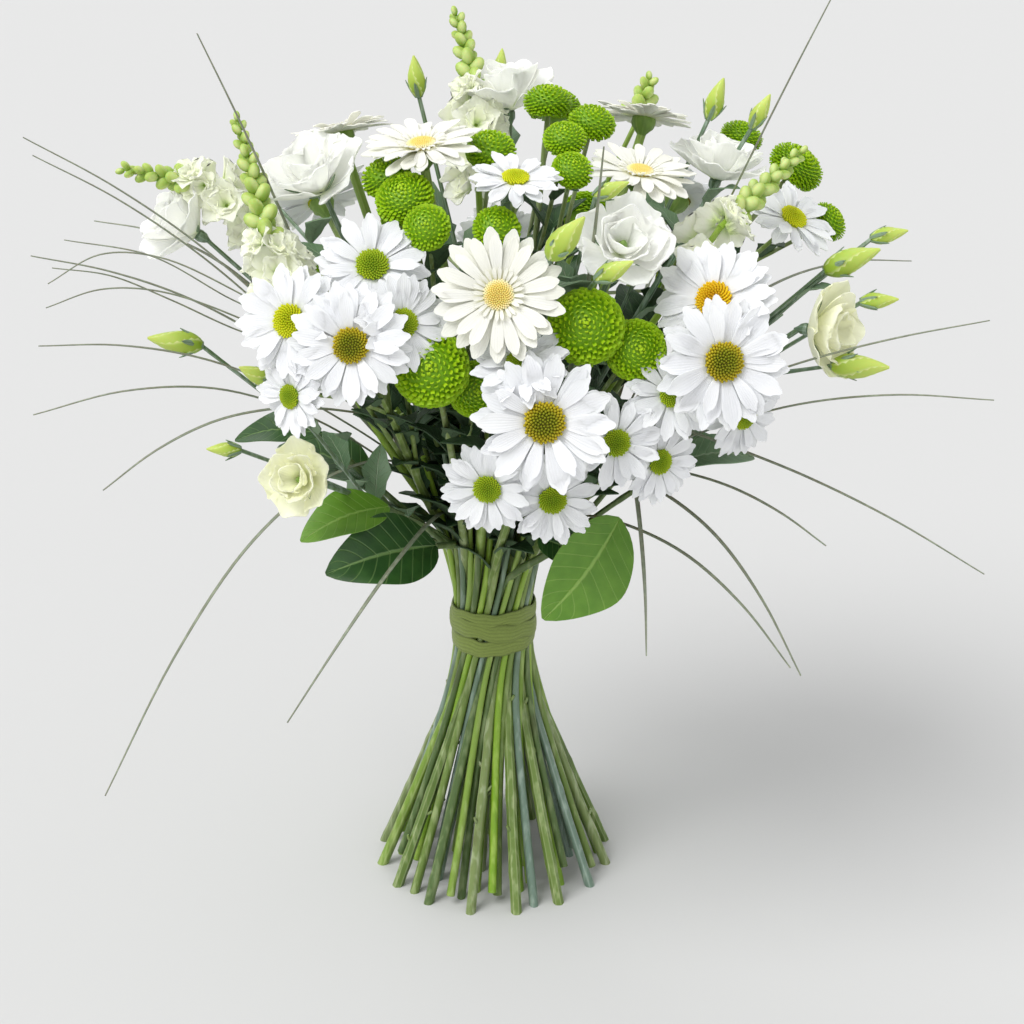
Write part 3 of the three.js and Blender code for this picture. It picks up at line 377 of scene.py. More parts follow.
# finer blades that have no solids of their own, as the photo shows them on the left
FINE_GRASS = {
    "left": (
        (
            (-0.0899, -0.030, 0.3024), (-0.1184, -0.050, 0.3234), (-0.1511, -0.070, 0.3501),
            (-0.1876, -0.075, 0.3588),
        ),
        (
            (-0.0894, -0.035, 0.3041), (-0.1163, -0.050, 0.3272), (-0.1483, -0.060, 0.3462),
            (-0.1732, -0.070, 0.3505), (-0.1952, -0.080, 0.3402),
        ),
        (
            (-0.0892, -0.040, 0.2959), (-0.1154, -0.055, 0.3164), (-0.1485, -0.065, 0.3319),
            (-0.1734, -0.075, 0.3359), (-0.1959, -0.085, 0.3307),
        ),
        (
            (-0.0902, -0.030, 0.2925), (-0.1172, -0.050, 0.3090), (-0.1450, -0.060, 0.3265),
            (-0.1704, -0.065, 0.3393), (-0.1950, -0.070, 0.3445),
        ),
    ),
    "right": (),
}


# ---------------------------------------------------------------- small geometry


def spread(n: float) -> float:
    """An even spread of values from 0 to 1 that never repeats."""
    return (n * GOLDEN) % 1.0


def unit(v: Array) -> Array:
    """The direction of a vector."""
    return v / np.linalg.norm(v)


def ease(t: Array) -> Array:
    """A smooth step from 0 to 1."""
    t = np.clip(t, 0.0, 1.0)
    return t * t * (3 - 2 * t)


@dataclass(frozen=True)
class Place:
    """Where a head stands: its axes as columns, and its origin."""

    turn: Array
    at: Array

    @classmethod
    def standing(cls, at: Sequence[float], faces: Sequence[float], roll: float = 0.0) -> Place:
        """A place whose +Z looks along a direction, turned by roll about it.

        Args:
            at: the origin.
            faces: the direction of +Z, of any length.
            roll: turn about +Z, in radians.

        Returns:
            The place.
        """
        z = unit(np.array(faces, float))
        side = np.array((0.0, 0.0, 1.0)) if abs(z[2]) < 0.9 else np.array((0.0, -1.0, 0.0))
        x = unit(np.cross(side, z))
        y = np.cross(z, x)
        c, s = math.cos(roll), math.sin(roll)
        return cls(np.stack([x * c + y * s, y * c - x * s, z], axis=1), np.array(at, float))

    def of(self, corners: Array) -> Array:
        """Corners of this place's own frame, in the frame of the bunch."""
        return corners @ self.turn.T + self.at

    def lowered(self, depth: float) -> Place:
        """The same place, moved down its own +Z."""
        return Place(self.turn, self.at - self.turn[:, 2] * depth)


def smooth_path(stops: Sequence[Sequence[float]], count: int) -> Array:
    """Points of the smooth curve through some stops.

    Args:
        stops: the points that the curve passes.
        count: number of even steps.

    Returns:
        count + 1 points.
    """
    p = np.array(stops, float)
    p = np.vstack([2 * p[0] - p[1], p, 2 * p[-1] - p[-2]])
    spans = len(p) - 3
    out = []
    for t in np.linspace(0, spans, count + 1):
        i = min(int(t), spans - 1)
        a, b, c, d = p[i : i + 4]
        w = t - i
        d0, d1, d2 = (math.sqrt(np.linalg.norm(v)) for v in (b - a, c - b, d - c))
        leave = ((b - a) / d0 - (c - a) / (d0 + d1) + (c - b) / d1) * d1
        reach = ((c - b) / d1 - (d - b) / (d1 + d2) + (d - c) / d2) * d1
        cubic = 2 * b - 2 * c + leave + reach
        square = 3 * c - 3 * b - 2 * leave - reach
        out.append(b + w * (leave + w * (square + w * cubic)))
    return np.array(out)


def heading(points: Array, i: int) -> Array:
    """Direction of a path at one of its points."""
    return unit(points[min(i + 1, len(points) - 1)] - points[max(i - 1, 0)])


# ---------------------------------------------------------------- where the stems run


StemEnd = tuple[Array, Array]
Ball = tuple[Array, float]


@dataclass
class Strand:
    """One stem or blade: points, radii, which points may move, and the point it grows from."""

    points: Array
    radii: Array
    free: Array
    root: tuple[Strand, int] | None = None


@dataclass
class Plant:
    """A plant of the bunch: where its stems end, the balls that others go round, and its stems."""

    kind: Kind
    name: str
    lead: Array
    ends: list[StemEnd]
    balls: list[Ball]
    blades: Sequence[Sequence[Triple]] = ()
    slot: tuple[float, float] = (0.0, 0.0)
    strands: list[Strand] = field(default_factory=list)

    @property
    def node(self) -> str:
        """Name of the plant's node."""
        return f"{self.kind.value}_{self.name}"


@dataclass(frozen=True)
class HeadFit:
    """How a stem meets a kind of head, and the ball at the head's base that other stems go round.

    The stem ends under the head's middle, at depth as a share of the head's size, less the length
    that goes into it. The ball's radius is such a share too, and its middle lies under the head's.
    """

    depth: float
    into: float
    ball: float
    under: float

    def meet(self, at: Triple, faces: Triple, size: float) -> tuple[StemEnd, Ball]:
        """Fits a stem to a head.

        Args:
            at: middle of the head.
            faces: the way it looks.
            size: its width or length.

        Returns:
            The stem's end and its direction there, then the ball's middle and radius.
        """
        middle, look = np.array(at), unit(np.array(faces, float))
        end = middle - look * (self.depth * size - self.into)
        return (end, look), (middle - look * self.under, self.ball * size)


HEAD_FITS = {
    Kind.DAISY: HeadFit(0.20, 0.001, 0.16, 0.002),
    Kind.GERBERA: HeadFit(0.20, 0.001, 0.16, 0.002),
    Kind.POMPOM: HeadFit(0.28, 0.0, 0.46, 0.0),
    Kind.LISIANTHUS: HeadFit(0.14, 0.001, 0.16, -0.003),
}
BUD_FIT = HeadFit(0.5, 0.001, 0.24, 0.0)


@dataclass
class Spiral:
    """The layout of the stems, by the rule that the solids follow.

    knee is the height of a stem's second point as a share of the tie's, hand is how far a curve keeps
    its first direction as a share of its chord, and grass_clear is how far a blade first runs out of
    its bundle. A blade's radius falls from its root to its tip by the shares of grass_taper.
    """

    plants: list[Plant]
    knee: float = 0.42
    hand: float = 0.3
    grass_clear: float = 0.014
    grass_taper: tuple[float, float] = (1.35, 0.75)

    @property
    def splay(self) -> float:
        """Growth of a ring's radius with the height over or under the tie."""
        widest = RING_STEP * (len(RINGS) - 1)
        return math.sqrt(FOOT_RADIUS**2 - widest**2) / (TIE_HEIGHT * widest)

    def lay_out(self) -> None:
        """Gives all the plants their slots and their strands."""
        self._give_slots()
        for plant in self.plants:
            plant.strands.append(self._main(plant))
            for n, end in enumerate(plant.ends[1:]):
                plant.strands.append(self._side(plant, end, n))
            for n, stops in enumerate(plant.blades):
                plant.strands.append(self._blade(plant, stops, n))
        self._ease_apart()

    def _place(self, slot: tuple[float, float], z: float) -> Array:
        """Point of a slot of the spiral at a height."""
        rise = z - TIE_HEIGHT
        angle = slot[1] + TWIST * rise / math.hypot(rise, TWIST_REACH)
        radius = slot[0] * math.hypot(1, self.splay * rise)
        return np.array((radius * math.cos(angle), radius * math.sin(angle), z))

    def _give_slots(self) -> None:
        """Gives each plant its slot in the tie: flat-lying heads outside, in their order round."""

        def lean(plant: Plant) -> float:
            """How flat the plant lies."""
            return math.atan2(math.hypot(plant.lead[0], plant.lead[1]), plant.lead[2] - TIE_HEIGHT)

        def azimuth(plant: Plant) -> float:
            """The side that the plant leads to."""
            return math.atan2(plant.lead[1], plant.lead[0])

        inward = sorted(self.plants, key=lean)
        first = 0
        for ring, count in enumerate(RINGS):
            members = sorted(inward[first : first + count], key=azimuth)
            first += count
            pitch = 2 * math.pi / count
            offsets = [azimuth(plant) - i * pitch for i, plant in enumerate(members)]
            start = math.atan2(sum(map(math.sin, offsets)), sum(map(math.cos, offsets))) - TWIST
            for i, plant in enumerate(members):
                plant.slot = (ring * RING_STEP, start + i * pitch)

    def _sweep(self, start: Array, leaving: Array, end: Array, arriving: Array, count: int) -> Array:
        """Points of a smooth curve that leaves one end and reaches the other along directions."""
        reach = self.hand * np.linalg.norm(end - start)
        t = np.linspace(0, 1, count + 1)[:, None]
        hand, foot = start + leaving * reach, end - arriving * reach
        return (1 - t) ** 3 * start + 3 * (1 - t) ** 2 * t * hand + 3 * (1 - t) * t**2 * foot + t**3 * end

    def _main(self, plant: Plant) -> Strand:
        """Main stem from the table through the tie to the plant's first head."""
        low = [self._place(plant.slot, z) for z in (0, self.knee * TIE_HEIGHT, TIE_HEIGHT - NECK)]
        neck = self._place(plant.slot, TIE_HEIGHT + NECK)
        end, look = plant.ends[0]
        upper = self._sweep(neck, unit(neck - low[2]), end, look, 3)
        points = np.vstack([low, upper])
        size = STEM_SIZES[plant.kind]
        last = len(points) - 1
        radii = [size.tie + (size.end - size.tie) * max(i - 3, 0) / (last - 3) for i in range(last + 1)]
        radii[0] = size.tie * FOOT_SWELL
        radii[1] = size.tie * (1 + FOOT_SWELL) / 2
        free = np.array([3 < i < last for i in range(last + 1)])
        return Strand(points, np.array(radii), free)

    def _side(self, plant: Plant, end: StemEnd, n: int) -> Strand:
        """Side stem from a point of the main stem to another head."""
        main = plant.strands[0]
        root = 4 + n % 2
        points = self._sweep(main.points[root], heading(main.points, root), end[0], end[1], 2)
        radii = np.full(3, STEM_SIZES[plant.kind].twig)
        return Strand(points, radii, np.array([False, True, False]), (main, root))

    def _blade(self, plant: Plant, stops: Sequence[Triple], n: int) -> Strand:
        """Blade of grass from the side of its bundle, out through the head and over to its tip."""
        main = plant.strands[0]
        root = len(main.points) - 1 - n % 3
        start = main.points[root]
        clear = start + unit(np.array(stops[0]) - start) * self.grass_clear
        points = smooth_path([start, clear, *stops], 5)
        shares = np.arange(6) / 5
        full, fall = self.grass_taper
        radii = STEM_SIZES[plant.kind].twig * (full - fall * shares)
        return Strand(points, radii, (shares > 0) & (shares < 1), (main, root))

    def _ease_apart(self) -> None:
        """Bends stems of different plants clear of each other and of the heads, a little at a time."""
        strands = [s for plant in self.plants for s in plant.strands]
        starts = np.cumsum([0] + [len(s.points) for s in strands])
        owner, first, thick = [], [], []
        balls = []
        k = 0
        for number, plant in enumerate(self.plants):
            for strand in plant.strands:
                for i in range(len(strand.points) - 1):
                    owner.append(number)
                    first.append(starts[k] + i)
                    thick.append(max(strand.radii[i], strand.radii[i + 1]))
                k += 1
            balls += [(number, at, radius) for at, radius in plant.balls]
        free = np.concatenate([s.free for s in strands])
        points = np.vstack([s.points for s in strands])
        count = len(points)
        points = np.vstack([points, [at for _, at, _ in balls]])
        own = np.array(owner + [number for number, _, _ in balls])
        a = np.concatenate([first, count + np.arange(len(balls))]).astype(int)
        b = np.concatenate([np.array(first) + 1, count + np.arange(len(balls))]).astype(int)
        girth = np.array(thick + [radius for _, _, radius in balls])
        solid = np.concatenate([np.zeros(len(first), bool), np.ones(len(balls), bool)])
        m, n = np.triu_indices(len(own), 1)
        keep = (own[m] != own[n]) & ~(solid[m] & solid[n])
        m, n = m[keep], n[keep]
        wanted = girth[m] + girth[n] + 2 * GAP
        mobile = np.concatenate([free, np.zeros(len(balls), bool)])
        inner = np.flatnonzero(free)
        rooted = [(starts[k], s) for k, s in enumerate(strands) if s.root]
        base = {id(s): starts[k] for k, s in enumerate(strands)}
        for _ in range(EASING_ROUNDS):
            share_m, share_n, apart = self._nearest(points[a[m]], points[b[m]], points[a[n]], points[b[n]])
            length = np.linalg.norm(apart, axis=1)
            near = length < wanted
            push = apart[near] / length[near, None] * (0.5 * (wanted - length))[near, None]
            moves = np.zeros_like(points)
            for ends, share, by in ((m, share_m, push), (n, share_n, -push)):
                part = share[near, None]
                np.add.at(moves, a[ends[near]], by * (1 - part))
                np.add.at(moves, b[ends[near]], by * part)
            moves[inner] += STRAIGHTENING * ((points[inner - 1] + points[inner + 1]) / 2 - points[inner])
            moves[~mobile] = 0
            size = np.linalg.norm(moves, axis=1, keepdims=True)
            points = points + moves * np.minimum(1, EASING_STEP / np.maximum(size, 1e-12))
            for at, strand in rooted:
                main, root = strand.root
                points[at] = points[base[id(main)] + root]
        for k, strand in enumerate(strands):
            strand.points = points[starts[k] : starts[k + 1]]

    @staticmethod
    def _nearest(a: Array, b: Array, c: Array, d: Array) -> tuple[Array, Array, Array]:
        """Shares of the nearest points of pairs of straight pieces, and the vectors between them."""
        u, v, w = b - a, d - c, a - c

        def dot(p: Array, q: Array) -> Array:
            """Products of rows of vectors."""
            return np.einsum("ij,ij->i", p, q)

        uu = np.maximum(dot(u, u), 1e-15)
        vv = np.maximum(dot(v, v), 1e-15)
        uv, uw, vw = dot(u, v), dot(u, w), dot(v, w)
        spin = np.maximum(uu * vv - uv * uv, 1e-21)
        s = np.clip((uv * vw - vv * uw) / spin, 0, 1)
        t = np.clip((uv * s + vw) / vv, 0, 1)
        s = np.clip((uv * t - uw) / uu, 0, 1)
        return s, t, w + u * s[:, None] - v * t[:, None]


def headed_plant(kind: Kind, name: str, heads: Sequence[Bloom], buds: Sequence[Bud] = ()) -> Plant:
    """Plant whose stems end under blooms and buds, and which leads to its first bloom."""
    fits = [HEAD_FITS[kind].meet(head.at, head.faces, head.across) for head in heads]
    fits += [BUD_FIT.meet(bud.at, bud.points, bud.length) for bud in buds]
    return Plant(kind, name, np.array(heads[0].at), [end for end, _ in fits], [ball for _, ball in fits])


def all_plants() -> list[Plant]:
    """The plants in the order of their nodes, with the ends of their stems."""
    singles = {str(n + 1): (bloom,) for n, bloom in enumerate(GERBERAS)}
    sprays = ((Kind.DAISY, DAISY_SPRAYS), (Kind.GERBERA, singles), (Kind.POMPOM, POMPOM_SPRAYS))
    plants = [headed_plant(kind, name, heads) for kind, group in sprays for name, heads in group.items()]
    plants += [headed_plant(Kind.LISIANTHUS, name, *heads) for name, heads in LISIANTHUS.items()]
    for name, spikes in SNAPDRAGONS.items():
        looks = [unit(np.array(stops[1]) - np.array(stops[0])) for stops in spikes]
        ends = [(np.array(stops[0]) + look * SPIKE_OVERLAP, look) for stops, look in zip(spikes, looks)]
        balls = [(np.array(stop), SPIKE_BALL) for stops in spikes for stop in stops]
        plants.append(Plant(Kind.SNAPDRAGON, name, np.array(spikes[0][0]), ends, balls))
    for name, leaves in LEAFY_STEMS.items():
        looks = [unit(np.array(leaf.tip) - np.array(leaf.root)) for leaf in leaves]
        ends = [(np.array(leaf.root) + look * LEAF_OVERLAP, look) for leaf, look in zip(leaves, looks)]
        balls = [(np.array(leaf.root), LEAF_BALL) for leaf in leaves]
        plants.append(Plant(Kind.LEAFY, name, np.array(leaves[0].tip), ends, balls))
    for name, (root, blades) in GRASS.items():
        look = unit(np.array(root) - np.array((0, 0, TIE_HEIGHT)))
        plants.append(Plant(Kind.GRASS, name, np.array(root), [(np.array(root), look)], [], blades))
    return plants


# ---------------------------------------------------------------- forms that are copied


@dataclass(frozen=True)
class Form:
    """A closed shape that is copied: its corners, its faces as one run of corner numbers, and triangles."""

    corners: Array
    loops: Array
    sizes: Array
    triangles: Array

    @classmethod
    def taken(cls) -> Form:
        """The form of the active object, which is then removed."""
        made = bpy.context.active_object
        mesh = made.data
        corners = np.zeros(3 * len(mesh.vertices))
        mesh.vertices.foreach_get("co", corners)
        loops = np.zeros(len(mesh.loops), int)
        mesh.loops.foreach_get("vertex_index", loops)
        sizes = np.zeros(len(mesh.polygons), int)
        mesh.polygons.foreach_get("loop_total", sizes)
        mesh.calc_loop_triangles()
        triangles = np.zeros(3 * len(mesh.loop_triangles), int)
        mesh.loop_triangles.foreach_get("vertices", triangles)
        bpy.data.objects.remove(made)
        return cls(corners.reshape(-1, 3), loops, sizes, triangles.reshape(-1, 3))

    @classmethod
    def sheet(cls, columns: int, rows: int) -> Form:
        """A slab: x from -1 to 1 across it, y from 0 to 1 along it, and z -1 or 1 through it."""
        bpy.ops.object.select_all(action="DESELECT")
        bpy.ops.mesh.primitive_grid_add(x_subdivisions=columns, y_subdivisions=rows, size=1)
        bpy.ops.object.mode_set(mode="EDIT")
        bpy.ops.transform.resize(value=(2, 1, 1))
        bpy.ops.transform.translate(value=(0, 0.5, 0))
        bpy.ops.object.mode_set(mode="OBJECT")
        wall = bpy.context.active_object.modifiers.new("wall", "SOLIDIFY")
        wall.thickness, wall.offset = 2, 0
        bpy.ops.object.modifier_apply(modifier=wall.name)
        return cls.taken()

    @classmethod
    def rod(cls, sides: int, rings: int) -> Form:
        """A round rod of radius 1 from z 0 to 1, cut into rings of faces."""
        bpy.ops.object.select_all(action="DESELECT")
        bpy.ops.mesh.primitive_cylinder_add(vertices=sides, radius=1, depth=1, location=(0, 0, 0))
        made = bpy.context.active_object
        bpy.ops.object.mode_set(mode="EDIT")
        bpy.ops.mesh.select_mode(type="EDGE")
        bpy.ops.transform.translate(value=(0, 0, 0.5))
        bpy.ops.mesh.select_all(action="DESELECT")
        bpy.ops.object.mode_set(mode="OBJECT")
        for edge in made.data.edges:
            low, high = (made.data.vertices[v].co.z for v in edge.vertices)
            edge.select = abs(low - high) > 0.5
        bpy.ops.object.mode_set(mode="EDIT")
        bpy.ops.mesh.subdivide(number_cuts=rings - 1)
        bpy.ops.object.mode_set(mode="OBJECT")
        return cls.taken()

    @classmethod
    def ball(cls, segments: int, rings: int) -> Form:
        """A round ball of radius 1."""
        bpy.ops.object.select_all(action="DESELECT")
        bpy.ops.mesh.primitive_uv_sphere_add(segments=segments, ring_count=rings, radius=1)
        return cls.taken()

    def volume(self, corners: Array) -> float:
        """Volume inside one copy of the form, below 0 where its faces point inwards."""
        a, b, c = (corners[self.triangles[:, k]] for k in range(3))
        return float(np.sum(a * np.cross(b, c))) / 6

    def reversed_loops(self) -> Array:
        """The faces' corner numbers with each face turned round."""
        ends = np.cumsum(self.sizes)
        return np.concatenate([self.loops[e - s : e][::-1] for s, e in zip(self.sizes, ends)])


class Growth:
    """The mesh of one piece, gathered from placed copies of forms."""

    def __init__(self) -> None:
        """Starts an empty mesh."""
        self.count = 0
        self.corners: list[Array] = []
        self.loops: list[Array] = []
        self.sizes: list[Array] = []
        self.finish: list[Array] = []
        self.values: dict[str, list[Array]] = {"tone": [], "along": [], "side": [], "face": []}

    def add(
        self,
        form: Form,
        corners: Array,
        tone: Array | float = 0.5,
        along: Array | float = 0.0,
        side: Array | float = 0.0,
        face: Array | float = 0.0,
        finish: int = 0,
    ) -> None:
        """Adds copies of a form.

        Args:
            form: the form whose faces the copies have.
            corners: places of the corners, one row for each copy.
            tone: a value from 0 to 1 that varies the colour, one for each copy or a row for its corners.
            along: how far along its copy a corner lies, from 0 to 1.
            side: how far across its copy a corner lies, from -1 to 1.
            face: 1 on an upper face and -1 on a lower one.
            finish: number of the finish in the piece's list.
        """
        corners = corners.reshape(-1, len(form.corners), 3)
        copies, size = corners.shape[:2]
        middle = corners[0].mean(axis=0)
        loops = form.loops if form.volume(corners[0] - middle) > 0 else form.reversed_loops()
        starts = self.count + size * np.arange(copies)
        self.corners.append(corners.reshape(-1, 3))
        self.loops.append((starts[:, None] + loops).ravel())
        self.sizes.append(np.tile(form.sizes, copies))
        self.finish.append(np.full(copies * len(form.sizes), finish))
        tones = tone if np.ndim(tone) == 2 else np.reshape(tone, (-1, 1))
        values = {"tone": tones, "along": along, "side": side, "face": face}
        for name, value in values.items():
            self.values[name].append(np.broadcast_to(value, (copies, size)).ravel())
        self.count += copies * size

    def piece(
        self, name: str, finishes: Sequence[bpy.types.Material], slot: str, nodes: Iterable[str]
    ) -> None:
        """Makes the object, which rides on the bunch and replaces its nodes.

        Args:
            name: name of the piece.
            finishes: its materials, by number.
            slot: the record's material slot, which is not used.
            nodes: the nodes that the piece stands for.
        """
        mesh = bpy.data.meshes.new(name)
        sizes = np.concatenate(self.sizes)
        loops = np.concatenate(self.loops)
        mesh.vertices.add(self.count)
        mesh.vertices.foreach_set("co", np.concatenate(self.corners).ravel())
        mesh.loops.add(len(loops))
        mesh.loops.foreach_set("vertex_index", loops)
        mesh.polygons.add(len(sizes))
        mesh.polygons.foreach_set("loop_start", np.cumsum(sizes) - sizes)
        mesh.polygons.foreach_set("material_index", np.concatenate(self.finish))
        mesh.update(calc_edges=True)
        for key, parts in self.values.items():
            layer = mesh.attributes.new(key, "FLOAT", "POINT")
            layer.data.foreach_set("value", np.concatenate(parts))
        for finish in finishes:
            mesh.materials.append(finish)
        made = bpy.data.objects.new(name, mesh)
        bpy.context.scene.collection.objects.link(made)
        bpy.ops.object.select_all(action="DESELECT")
        made.select_set(True)
        bpy.context.view_layer.objects.active = made
        bpy.ops.object.shade_smooth_by_angle(angle=math.radians(50))
        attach(made, "root")
        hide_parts(*nodes)
        LOG.info("%s: %d corners, %d faces", name, self.count, len(sizes))


# ---------------------------------------------------------------- finishes


def linear(code: int) -> tuple[float, float, float, float]:
    """Linear colour of a written RGB colour, such as 0xF4F5F3."""
    parts = [(code >> shift & 255) / 255 for shift in (16, 8, 0)]
    return (*[p / 12.92 if p <= 0.04045 else ((p + 0.055) / 1.055) ** 2.4 for p in parts], 1.0)


class Wire:
    """An output socket of a material, with arithmetic that adds Math nodes."""

    def __init__(self, brush: Brush, socket: bpy.types.NodeSocket) -> None:
        """Wraps a socket of a brush's tree."""
        self.brush = brush
        self.socket = socket

    def _math(self, operation: str, *values: Wire | float) -> Wire:
        """A Math node on this wire and others."""
        return self.brush.node("ShaderNodeMath", {"operation": operation}, dict(enumerate(values)))

    def __add__(self, other: Wire | float) -> Wire:
        """Sum."""
        return self._math("ADD", self, other)

    __radd__ = __add__

    def __mul__(self, other: Wire | float) -> Wire:
        """Product."""
        return self._math("MULTIPLY", self, other)

    __rmul__ = __mul__

    def __sub__(self, other: Wire | float) -> Wire:
        """Difference."""
        return self._math("SUBTRACT", self, other)

    def __rsub__(self, other: float) -> Wire:
        """A number less this wire."""
        return self._math("SUBTRACT", other, self)

    def __pow__(self, power: float) -> Wire:
        """Power."""
        return self._math("POWER", self, power)

    def sine(self) -> Wire:
        """Sine."""
        return self._math("SINE", self)

    def size(self) -> Wire:
        """Value without its sign."""
        return self._math("ABSOLUTE", self)

    def step(self, low: float, high: float) -> Wire:
        """A smooth step from 0 at low to 1 at high."""
        settings = {"interpolation_type": "SMOOTHSTEP"}
        return self.brush.node("ShaderNodeMapRange", settings, {0: self, 1: low, 2: high, 3: 0.0, 4: 1.0})


class Brush:
    """A material and the nodes that paint it."""

    def __init__(self, name: str) -> None:
        """Starts a material with one surface shader."""
        self.material = bpy.data.materials.new(name)
        self.material.use_nodes = True
        self.tree = self.material.node_tree
        self.shader = next(n for n in self.tree.nodes if n.type == "BSDF_PRINCIPLED")

    def node(self, kind: str, settings: dict, values: dict, output: int | str = 0) -> Wire:
        """Adds a node.

        Args:
            kind: the node's type.
            settings: its properties, set first.
            values: numbers, colours or wires for its sockets, by name or place.
            output: the output to wrap.

        Returns:
            The output as a wire.
        """
        made = self.tree.nodes.new(kind)
        for key, value in settings.items():
            setattr(made, key, value)
        for key, value in values.items():
            if isinstance(value, Wire):
                self.tree.links.new(value.socket, made.inputs[key])
            else:
                made.inputs[key].default_value = value
        return Wire(self, made.outputs[output])

    def values(self, *names: str) -> list[Wire]:
        """Some of the values that the mesh carries."""
        return [self.node("ShaderNodeAttribute", {"attribute_name": name}, {}, "Fac") for name in names]

    def noise(self, scale: float, detail: float = 2.0, squeeze: Triple = (1, 1, 1)) -> Wire:
        """Noise over the object, from 0 to 1, squeezed along the axes."""
        place = self.node("ShaderNodeTexCoord", {}, {}, "Object")
        place = self.node("ShaderNodeMapping", {}, {"Vector": place, "Scale": squeeze})
        return self.node("ShaderNodeTexNoise", {}, {"Vector": place, "Scale": scale, "Detail": detail}, 0)

    def mix(self, share: Wire, low: Wire | int, high: Wire | int) -> Wire:
        """Colour between two, by a share."""
        low, high = (linear(c) if isinstance(c, int) else c for c in (low, high))
        return self.node("ShaderNodeMix", {"data_type": "RGBA"}, {0: share, 6: low, 7: high}, 2)

    def paint(
        self, color: Wire, roughness: Wire | float, relief: Wire | None = None, depth: float = 0.0
    ) -> None:
        """Feeds the shader.

        Args:
            color: the base colour.
            roughness: the roughness.
            relief: height of the fine relief.
            depth: how deep the relief is, in metres.
        """
        self.tree.links.new(color.socket, self.shader.inputs["Base Color"])
        if isinstance(roughness, Wire):
            self.tree.links.new(roughness.socket, self.shader.inputs["Roughness"])
        else:
            self.shader.inputs["Roughness"].default_value = roughness
        if relief:
            bump = self.node("ShaderNodeBump", {}, {"Strength": 1.0, "Distance": depth, "Height": relief})
            self.tree.links.new(bump.socket, self.shader.inputs["Normal"])

    def set(self, **values: float) -> None:
        """Sets the shader's constants, whose names are written with underscores."""
        for key, value in values.items():
            self.shader.inputs[key.replace("_", " ")].default_value = value


@dataclass(frozen=True)
class PetalFinish:
    """Soft petals: ribbed along their length, tinted at the root and a little uneven.

    The light that soaks through a thin petal is its glow. Its lift is painted light: a faint white emission
    that lightens its shaded side.
    """

    name: str
    body: int
    shade: int
    root: int
    root_reach: float = 0.3
    ribs: float = 9.0
    glow: float = 0.3
    lift: float = 0.0

    def make(self) -> bpy.types.Material:
        """Makes the material."""
        b = Brush(self.name)
        along, side, tone = b.values("along", "side", "tone")
        ribs = (side * (self.ribs * math.pi)).sine() * 0.5 + 0.5
        cloud = b.noise(160)
        color = b.mix(tone * 0.5 + cloud * 0.5, self.body, self.shade)
        color = b.mix(1 - along.step(0.0, self.root_reach), color, self.root)
        b.paint(color, cloud * 0.2 + 0.45, ribs * (1 - side.size() ** 4.0), 0.00005)
        b.set(Subsurface_Weight=self.glow, Subsurface_Scale=0.004, Sheen_Weight=0.08)
        # lift feeds Emission Strength: a painted glow that lightens the petal's shaded side
        b.set(Specular_IOR_Level=0.3, Emission_Strength=self.lift)
        b.shader.inputs["Subsurface Radius"].default_value = (1.0, 1.0, 0.85)
        return b.material


@dataclass(frozen=True)
class FloretFinish:
    """Packed florets: painted shade at their roots where they meet and on the core, so that their tips look
    lit; a darker tone at random; and a change towards the rim.
    """

    name: str
    deep: int
    heart: int
    rim: int
    turn: tuple[float, float] = (0.2, 0.9)
    roughness: float = 0.6

    def make(self) -> bpy.types.Material:
        """Makes the material. On the mesh, side runs from the heart to the rim."""
        b = Brush(self.name)
        along, side, tone = b.values("along", "side", "tone")
        color = b.mix(side.step(*self.turn), self.heart, self.rim)
        # tone darkens some florets at random
        color = b.mix(tone * 0.35, color, self.deep)
        # painted shade: darker towards each floret's root and over the core under the florets
        color = b.mix(1 - along.step(0.05, 0.75), color, self.deep)
        grain = b.noise(1800)
        b.paint(color, self.roughness, grain, 0.00008)
        b.set(Subsurface_Weight=0.1, Subsurface_Scale=0.001, Specular_IOR_Level=0.3)
        return b.material


@dataclass(frozen=True)
class StemFinish:
    """Green stems: paler ridges and streaks, partly their own pale ribs and stripes and partly a painted
    highlight, a slow change along them, and flecks and rubbed patches.
    """

    name: str
    low: int
    high: int
    ridge: int
    fleck: int
    roughness: float = 0.42

    def make(self) -> bpy.types.Material:
        """Makes the material. On the mesh, side is 1 on a ridge and -1 in a groove."""
        b = Brush(self.name)
        along, side, tone = b.values("along", "side", "tone")
        color = b.mix(along.step(0.1, 0.8) * 0.6 + tone * 0.4, self.low, self.high)
        # paler ridges and long streaks: partly the stem's own stripes, partly a painted highlight
        streak_and_highlight = b.noise(330, 2, (1, 1, 0.04)).step(0.46, 0.68)
        color = b.mix(side.step(0.1, 1.0) * 0.4 + streak_and_highlight * 0.5, color, self.ridge)
        patches = b.noise(90, 4, (1, 1, 0.25))
        color = b.mix(patches.step(0.56, 0.72) * 0.6, color, self.fleck)
        grain = b.noise(700, 3, (1, 1, 0.12))
        b.paint(color, patches * 0.25 + self.roughness - 0.12, grain, 0.00015)
        b.set(Subsurface_Weight=0.06, Subsurface_Scale=0.002, Specular_IOR_Level=0.45)
        return b.material


